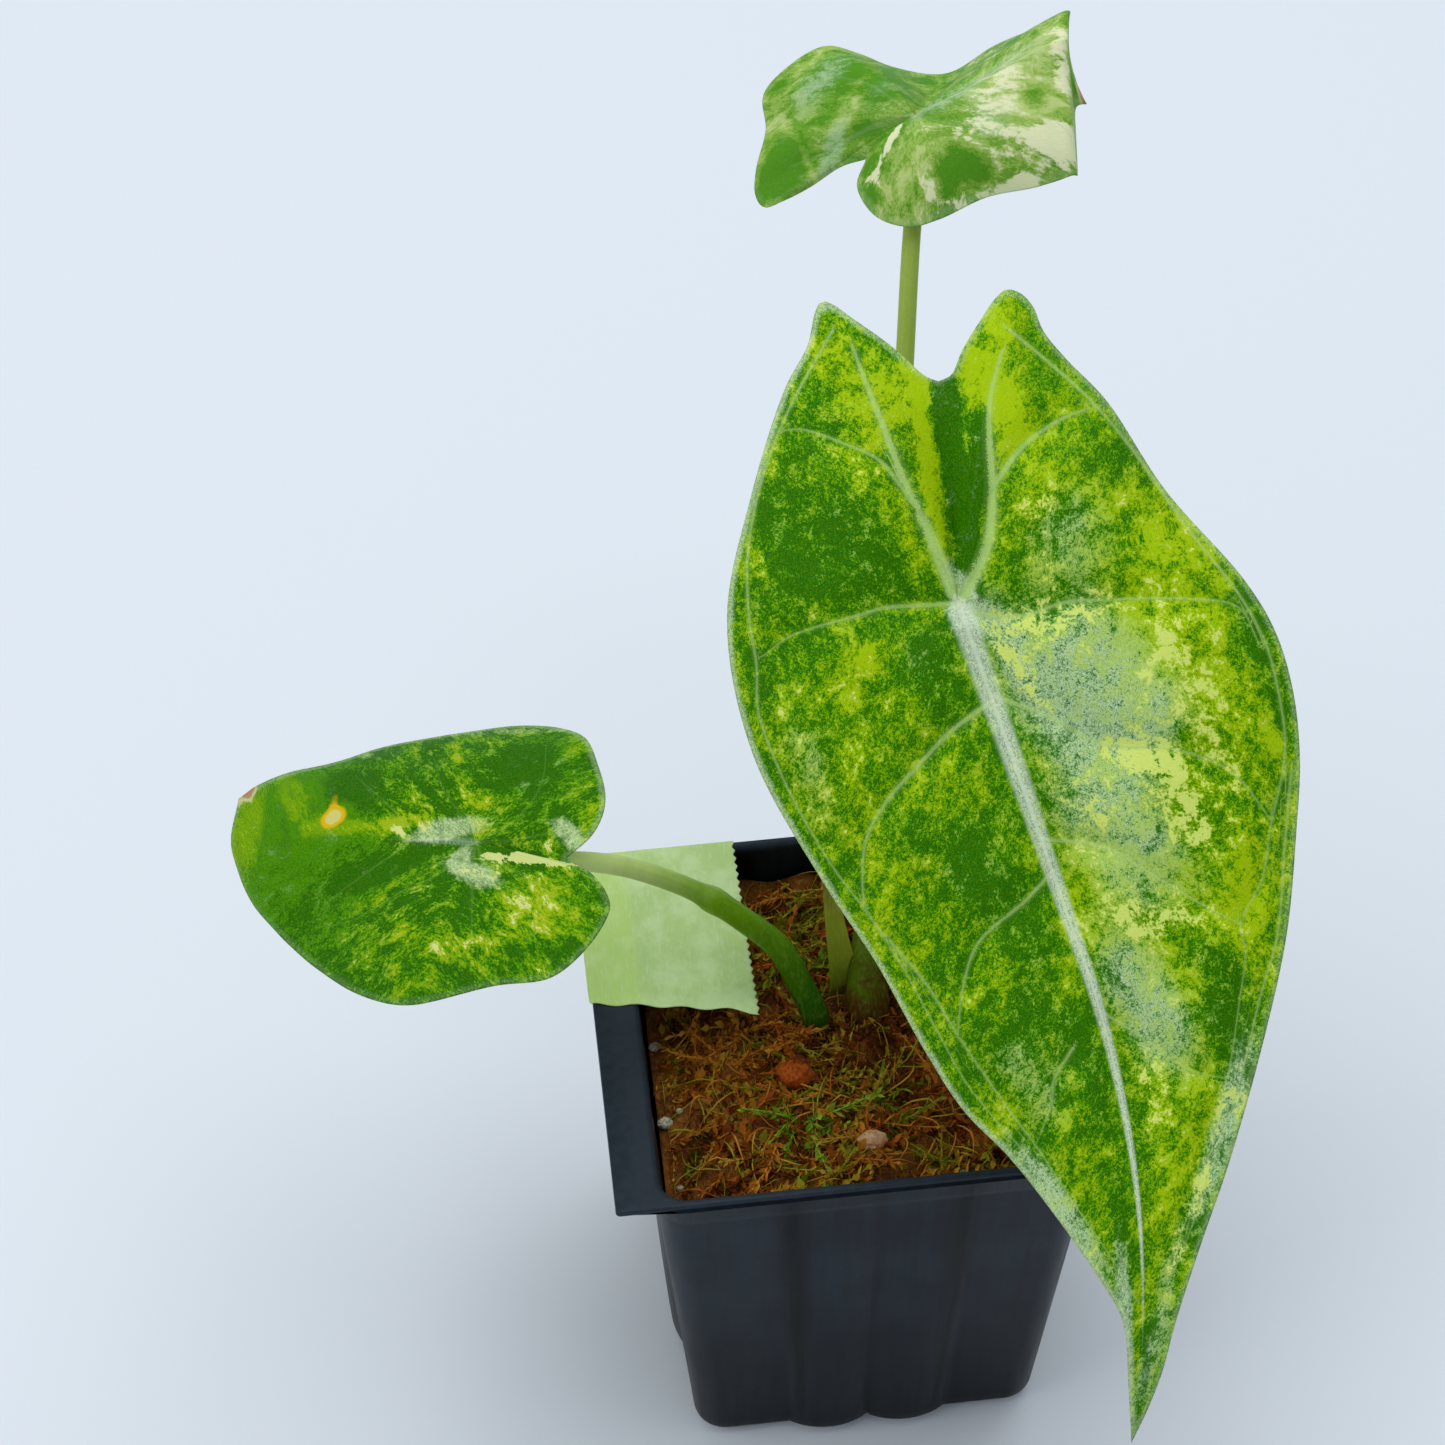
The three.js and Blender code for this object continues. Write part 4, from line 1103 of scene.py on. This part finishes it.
def give_thickness(leaf):
    """The blade's flesh under its upper face, thicker along the ribs, with the lower skin on it."""
    group = leaf.vertex_groups.new(name="thick")
    for index, value in enumerate(leaf.data.attributes["thick"].data):
        group.add([index], min(1, max(0, value.value)), "REPLACE")
    flesh = leaf.modifiers.new("flesh", "SOLIDIFY")
    flesh.thickness = (thinnest + rib_depth) * MM
    flesh.offset = -1
    flesh.vertex_group = "thick"
    flesh.material_offset = 1


front_tones = ("226c00", "4c9400", "8ab400", "accc08", "dcea74")
front_skin = leaf_top("front_leaf_top", front_tones, silver_sheen_tone="c4dcaa", vein_tone="b9d87c", mottle=-0.02)
front_under = leaf_under("front_leaf_under", "5d8f3a", "8fb468")
front_mesh = leaf_mesh(front_rows, front_bend, front_veins, front_patches, front_at, front_axes,
                       columns=432, rings=108, rib_size=(2.3, 118), puff=0.9)
front_leaf = shown("front_leaf", front_mesh, front_skin, front_under)
give_thickness(front_leaf)
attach(front_leaf, "root")
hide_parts("leaf_front")

# The left leaf is small, round and smooth, and nearly level. It is the oldest: its tip has dried to
# brown paper, its margin there is yellowing, and one spot has bleached.
left_rows = {
    "right": [
        (-15.5, 2.2, 0, -1), (-18.7, -1, 1, 0), (-19.4, -4.9, 1, 1), (-18.7, -8.7, 1, 1),
        (-15.2, -15.1, 0, 1), (-10.8, -21, -1, 1), (-5.4, -23.7, -2, 1), (2, -24.8, -3, 1),
        (9.3, -23.7, -3, 1), (16.4, -22.3, -3, 1), (26, -19.4, -3, 1), (37, -13, -3, 0.5),
        (43, -5.4, -3, 0), (45.6, 0, -3, 0),
    ],
    "left": [
        (-15.5, 2.2, 0, -1), (-17.4, 3.4, 0, 0), (-20.8, 5.5, 1, 1), (-24.2, 8.6, 1, 1),
        (-25.9, 11.8, 1, 1), (-24.3, 17.4, 0, 1), (-19.6, 22.7, -1, 1), (-10.5, 24, -2, 1),
        (2.6, 27.4, -3, 1), (11.8, 25.4, -4, 1), (22, 20, -5, 0), (31.7, 13.6, -5, -1),
        (37, 11.2, -5, -1), (41.3, 8.9, -5, -1), (44.3, 6.5, -4, -1), (45.6, 0, -3, 0),
    ],
}
left_bend = {"bow": 0.031, "bow_start": 28, "turn": 0, "start": 200, "radius": 90, "most": 30, "flick": 0}
left_veins = [
    (0.3, [(0, 0), (3.7, 7), (8.5, 9.7), (12.8, 12.3), (17.9, 14), (23.5, 14)]),
    (0.3, [(0, 0), (-2.1, 6.6), (-3.9, 12.3), (-5.4, 18.3), (-4.9, 22.2)]),
    (0.34, [(0, 0), (-4.9, 6.4), (-10.9, 10.2), (-13.7, 13.8), (-15.5, 17)]),
    (0.26, [(-3.3, 3.4), (-8.9, 5.8), (-14.2, 8.6), (-19, 11.3), (-21.3, 13.9)]),
    (0.26, [(0, 0), (3.1, -3.9), (7.8, -8.6), (13, -16.4)]),
    (0.3, [(0, 0), (-4.4, -2.8), (-6.4, -5.5), (-7.5, -9), (-7.2, -13.3), (-5.1, -19.4)]),
    (0.24, [(0, 0), (-6.8, -0.7), (-13, -2.1), (-16.8, -3.8)]),
    (0.22, [(11, 0), (17.3, 5.9), (21.9, 9.7), (24.6, 14.2)]),
    (0.22, [(9.5, 0), (15.4, -5.2), (20.7, -9.2), (25.4, -12.8)]),
]
left_patches = {
    "pale": [
        (-9.5, 3.2, 8, 1.1, -5, 1.2), (6, -2.4, 4.5, 1.2, 8, 0.5), (12.4, -1.9, 3, 1.3, 10, 0.5),
        (-2, 6.2, 4, 1.2, -24, 0.5), (-14.5, -1.8, 2.4, 1, -40, 0.4),
    ],
    "dark": [
        (4, -8, 9, 5, 0, 0.1), (24, -11, 6, 4, -20, 0.3), (16, 6, 7, 3, 20, 0.25),
        (-3, -12, 6, 8, 0, 0.5), (12, 4, 8, 3, 20, 0.4), (-9, 6.2, 7, 1.0, 25, 0.7),
        (-6, 1.6, 6, 0.9, 0, 0.6), (-17, 19, 4, 3, 0, 0.5), (0, 17, 4, 3, 0, 0.3),
    ],
    "yellow": [
        (9, -1.8, 12, 3, 0, 0.3), (4.9, 21, 2.5, 6, 10, 0.45), (-16, 12, 7, 6, 30, 0.3),
        (-6, 19, 10, 4, 0, 0.14), (18, -15, 2, 5, 0, 0.4), (8.7, -15, 1.4, 6, 20, 0.35),
        (2, -7, 4, 4, 0, 0.25), (12, 10, 3, 1.0, 50, 0.4), (-1, 13, 8, 9, 0, 0.05),
        (-4, -7, 3, 3, 0, 0.3), (-18, -5, 3, 4, 0, 0.4), (38, -10, 9, 3.4, -35, 0.24),
        (43, 3, 6, 10, 0, 0.4), (-9, -1.6, 6, 1.3, 0, 0.3), (-10.5, -18.5, 3, 2, 20, 0.25),
        (16, -2.6, 9, 1.4, 4, 0.4), (8, -6, 9, 6, -20, 0.14), (26, -3, 4, 3.4, 0, 0.3),
    ],
    "silver": [
        (-2, 6.2, 5.5, 2.0, -24, 1.0), (1, 3, 1.6, 3, 0, 0.9), (-15, -1.5, 4, 1.6, -40, 0.9),
        (5.5, -1.9, 6.5, 2.0, 12, 1.2), (4, -22.8, 14, 1.0, 3, 0.4), (28, -18.5, 10, 1, -14, 0.35),
    ],
    "calm": [
        (7, -5, 10, 7, 0, -0.6), (2, 14, 14, 9, 0, -0.3), (-10, 2, 8, 4, 0, -0.5),
        (33, 6, 19, 18, 0, 0.85), (31, -8, 11, 10, 0, 0.8), (-6, -15, 7, 8, 0, 0.6),
    ],
    "gold": [
        (25.7, -4.3, 2.0, 1.9, 0, 1.0), (26.8, -7.4, 0.9, 2.2, 12, 0.28),
    ],
    "dry": [
        (44.4, -3.6, 1.8, 2.8, 0, 1.0), (45.6, 1, 1.2, 6, 0, 0.5),
    ],
}
left_tones = ("206400", "448900", "78a600", "a2b814", "d6dc86")
left_skin = leaf_top("left_leaf_top", left_tones, silver_sheen_tone="c0d498", vein_tone="8aba4e", mottle=-0.1,
                     stretch=0.45, rib_show=0.3, line_show=0.4, fine=0.85, powdery=1.7)
left_under = leaf_under("left_leaf_under", "6a9c3c", "8db45a")
left_mesh = leaf_mesh(left_rows, left_bend, left_veins, left_patches, left_at, left_axes,
                      columns=300, rings=84, rib_size=(0.9, 17), puff=0.2)
left_leaf = shown("left_leaf", left_mesh, left_skin, left_under)
give_thickness(left_leaf)
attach(left_leaf, "root")
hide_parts("leaf_left")

# The back leaf is small and the most variegated, with large patches that hold no green at all. It
# leans back, and its far end is folded down.
back_rows = {
    "right": [
        (-9, 1.2, -4, -1), (-12.6, -1.8, -4, 0), (-13.4, -4.6, -5, 0), (-12.9, -8, -6, -0.5),
        (-10, -11.6, -7, -1), (-5.7, -12.6, -8, -1), (2, -13.3, -9, -1.5), (9.7, -16.8, -9.5, -2.2),
        (17, -18.8, -9, -2.4), (23, -17, -7, -2), (30, -10, -3, -0.5), (38, -6, 4.5, 0.6),
    ],
    "left": [
        (-9, 1.2, -4, -1), (-12.4, 3, -4.5, -1.5), (-17.4, 4.6, -6.5, -2.5), (-21.5, 5.9, -7.5, -3),
        (-24.6, 7.8, -8.5, -3), (-24.3, 10.6, -8, -2), (-22.2, 12.7, -6, -0.5), (-17.5, 16.5, -4, 1),
        (-14.7, 20.7, -2, 2), (-9, 21, 0, 3), (-3, 19.4, 1, 3), (1, 18, -3, 1.2), (5, 16, -8, -1.8),
        (12, 14, -14, -7.8), (20, 13, -13.5, -7.6), (26, 9, -9, -4.8), (31.5, 3, 0.5, -2.8),
        (38, -6, 4.5, 0.6),
    ],
}
back_bend = {
    "bow": 0.03, "bow_start": 20, "turn": -35, "start": 21.8, "radius": 1.2, "most": 96, "flick": 0.025,
}
back_veins = [
    (0.45, [(0, 0), (-3.5, 1.6), (-6.5, 3), (-9.6, 4.1), (-13.6, 5.6), (-18, 8)]),
    (0.35, [(0, 0), (3.2, -4.1), (6.7, -7.1), (8.3, -9.5), (9, -12)]),
    (0.3, [(0, 0), (-4, -2.7), (-6.6, -4.7), (-8.5, -6.4)]),
    (0.3, [(0, 0), (-1.4, 3.9), (-2.9, 8), (-5, 11.3), (-6, 15)]),
    (0.26, [(2.5, 0), (4, 2.8), (4.2, 5.7), (5, 9)]),
    (0.26, [(9, 0), (13, -5), (16, -10), (17, -14)]),
    (0.26, [(9, 0), (13, 4), (17, 8)]),
]
back_patches = {
    "pale": [
        (-5, -1.5, 4, 0.7, 25, 1.1), (-10.5, -3.6, 2.6, 1.6, 20, 0.5), (-2, -12.8, 6, 1.2, -8, 0.5),
        (6, -15, 6, 1.2, -12, 0.8), (14.6, -14, 3, 2.6, 0, 0.9), (22, -7, 1.6, 5, -30, 0.6),
        (9, -11.6, 5, 2.6, 0, 0.45), (26, -1.5, 2.5, 2.5, 0, 0.35), (5, -6, 6, 2.4, -30, 0.4),
        (13, -4.6, 8, 4, 0, 0.36), (17, -16, 4, 3, 0, 0.8), (28, -6, 6, 4, 0, 0.1),
        (19, 1, 6, 3, 0, 0.16), (14, -7, 11, 9, 0, 0.2), (-3, -9.5, 4, 3, 0, 0.3),
        (20, 8, 8, 6, 0, 0.3),
    ],
    "yellow": [
        (15, -7, 11, 9, 0, 0.6), (-8, 6.4, 5, 2.5, 20, 0.3), (-5, -6.4, 4, 2.5, 0, 0.35),
        (0, 1.8, 2.5, 1.5, 0, 0.35), (-15.9, 9, 0.8, 6, -6, 0.6), (24, 0, 6, 5, 0, 0.3),
        (-9, -8.6, 3, 4, 0, 0.3),
    ],
    "dark": [
        (-10, 8, 16, 9, 0, 0.16), (0.5, -9, 3, 2.4, 0, 0.9), (3.6, -11, 1.8, 1.4, 0, 0.7),
        (16, -8, 1.8, 1.6, 0, 0.8), (-19, 9.6, 4.5, 2.6, 20, 1.1), (-17.2, 8, 2.4, 3, 0, 0.5),
        (-4, 5.6, 6, 1.6, 20, 0.4), (-8, 9.5, 6, 2.4, 10, 0.35), (24, 0, 4, 3, 0, 0.3),
    ],
    "calm": [
        (-19, 9.4, 4, 3, 20, 0.9), (12, -6, 13, 11, 0, 0.4), (-8, 9, 16, 10, 0, 0.35),
    ],
    "silver": [
        (-7, 14, 8, 3, 0, 0.6), (8, 0, 9, 3, 0, 0.7), (0, 6, 5, 3, 0, 0.3), (9, -7, 4, 4, 0, 0.7),
        (-12, 5, 5, 1.6, 20, 0.7), (20, -2, 6, 5, 0, 0.5),
    ],
    "dry": [
        (38, -6, 3, 3, 0, 0.9),
    ],
}
back_tones = ("509018", "74a232", "98b852", "bccd7a", "e9e9bc")
back_skin = leaf_top("back_leaf_top", back_tones, silver_sheen_tone="a9c79a", vein_tone="b9d19a",
                     stretch=0.45, rib_show=0.4, line_show=0.3, fine=0.5, blur=0.11)
back_under = leaf_under("back_leaf_under", "86ab5c", "c3cf9c")
back_mesh = leaf_mesh(back_rows, back_bend, back_veins, back_patches, back_at, back_axes,
                      columns=300, rings=84, rib_size=(1.0, 30), puff=0.1)
back_leaf = shown("back_leaf", back_mesh, back_skin, back_under)
give_thickness(back_leaf)
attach(back_leaf, "root")
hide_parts("leaf_back")

# The label is a strip of pale green crepe paper tape, stuck flat on the left flange and the back rim
# and folded down over the flange's edge. Its right edge is torn off a toothed cutter.
tape_left = -40
tape_right = -14.7
tape_back = pot_top.y - 0.8
tape_front = 4.6
tape_slant = 5.8
fold_slant = 5
tape_fold = 79.5
tape_lift = 1.1
tape_gap = 0.12
tape_wrap = 0.3
tape_paper = 0.16
tape_columns = 90
tape_rows = 110
tooth_length = 1.55
tooth_depth = 0.5

tape_mesh, u, v = grid(tape_columns, tape_rows)
flat_z = pot_top.z + tape_gap
down = flat_z - tape_fold
run = u * (down + tape_right - tape_left + tape_wrap)
outer = tape_left - tape_wrap
x = np.where(run < down, outer, outer + run - down)
front_edge = tape_front - tape_slant * np.clip((x - tape_left) / (tape_right - tape_left), 0, 1) ** 1.3
front_edge = front_edge + fold_slant * np.clip(1 - run / down, 0, 1)
y = tape_back + (front_edge - tape_back) * v
corner_share = np.clip((run - down + 0.5) / 1.0, 0, 1)
z = np.where(run < down, tape_fold + run, flat_z)
z = z - 0.15 * np.sin(np.pi * corner_share)

# On the flange the tape is stuck and nearly flat. Past it the tape is free and lifts in soft waves.
free = smooth_step(x, -top_half, -top_half + 9)
z = z + tape_lift * free * v * (np.sin(0.33 * x + 1.1) * 0.5 + v ** 3)
z = z + 0.12 * free * np.sin(y * 0.9 + 0.3 * x) * v
z = z + 0.07 * (1 - free) * np.sin(y * 0.55 + x * 0.8) * (run > down + 1)
tooth = np.abs((y / tooth_length) % 1 - 0.5) * 2
torn = smooth_step(u, 0.9, 1)
x = x + torn * (tooth_depth * (tooth - 1) + 0.3 * v)
y = y + 0.25 * smooth_step(v, 0.85, 1) * np.sin(x * 0.9)
move_to(tape_mesh, x, y, z)
bmesh.ops.recalc_face_normals(tape_mesh, faces=tape_mesh.faces)
if sum(face.normal.z for face in tape_mesh.faces) < 0:
    bmesh.ops.reverse_faces(tape_mesh, faces=tape_mesh.faces)
mark(tape_mesh, "free", smooth_step(x, -top_half, -top_half + 3))

crepe = Finish("crepe_tape", {"Roughness": 0.7, "Subsurface Weight": 0.1, "Subsurface Scale": 0.001,
                              "Specular IOR Level": 0.3})
where = crepe.place()
pleat = crepe.noise(crepe.stretched(where, (1, 0.18, 1)), 0.42, 3, 0.6, 0.6)
cloud = crepe.noise(where, 5, 4, 0.6)
paper = crepe.mix(crepe.rise(cloud, 0.4, 0.65), "c2dc8c", "d6eaa8")
stuck = crepe.rise(crepe.attribute("free"), 0.0, 1.0, 1, 0)
paper = crepe.mix(stuck * 0.5, paper, "cdea78")
crepe.set("Base Color", crepe.mix(crepe.rise(pleat, 0.5, 0.72) * 0.35, paper, "e6f2c4"))
crepe.bump(pleat * 0.8 + crepe.noise(where, 0.2, 2) * 0.2, 0.14)
tape = shown("crepe_label", tape_mesh, crepe)
paper_thickness = tape.modifiers.new("paper", "SOLIDIFY")
paper_thickness.thickness = tape_paper * MM
paper_thickness.offset = 1
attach(tape, "root")
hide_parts("label_tape")

# The floor is a sheet of pale board. The light is that of a bright, even room, with a large window
# above and behind the plant and a smaller one to its left.
floor_half = 6.0
floor_mesh = bmesh.new()
bmesh.ops.create_grid(floor_mesh, x_segments=1, y_segments=1, size=floor_half)
board = Finish("pale_board", {"Base Color": colour("e8ecef"), "Roughness": 0.6, "Specular IOR Level": 0.2})
floor = shown("floor", floor_mesh, board)

sky = bpy.data.worlds.new("soft_room")
sky.use_nodes = True
sky_light = sky.node_tree.nodes["Background"]
sky_light.inputs["Color"].default_value = colour("dfe9f7")
sky_light.inputs["Strength"].default_value = 0.5
bpy.context.scene.world = sky


def window(name, at, aim, width, height, power, tint):
    """A soft rectangular light at a place, turned towards another, in metres."""
    lamp = bpy.data.lights.new(name, "AREA")
    lamp.shape = "RECTANGLE"
    lamp.size = width
    lamp.size_y = height
    lamp.energy = power
    lamp.color = colour(tint)[:3]
    light = bpy.data.objects.new(name, lamp)
    light.location = at
    light.rotation_mode = "QUATERNION"
    light.rotation_quaternion = (Vector(at) - Vector(aim)).to_track_quat("Z", "Y")
    bpy.context.scene.collection.objects.link(light)


window("top_window", (0.1, 0.35, 1.5), (0, 0, 0.1), 1.3, 1.3, 14, "f8fbff")
window("left_window", (-1.2, -0.2, 0.9), (0, 0, 0.1), 0.9, 0.9, 4.5, "ffffff")

# The camera looks down on the plant from the front and a little from the left, with a long lens.
# Its place is in metres.
camera_at = (-0.0525, -0.3375, 0.608)
camera_azimuth = math.radians(-5.6)
camera_elevation = math.radians(52.9)
camera_roll = math.radians(-1.0)
lens = bpy.data.cameras.new("camera")
lens.lens = 100
lens.sensor_width = 36
lens.clip_start = 0.01
camera = bpy.data.objects.new("camera", lens)
level = math.cos(camera_elevation)
back = Vector((
    math.sin(camera_azimuth) * level, -math.cos(camera_azimuth) * level, math.sin(camera_elevation),
))
camera.location = camera_at
camera.rotation_mode = "QUATERNION"
camera.rotation_quaternion = back.to_track_quat("Z", "Y") @ Quaternion((0, 0, 1), camera_roll)
bpy.context.scene.collection.objects.link(camera)
bpy.context.scene.camera = camera
bpy.context.scene.view_settings.view_transform = "Standard"
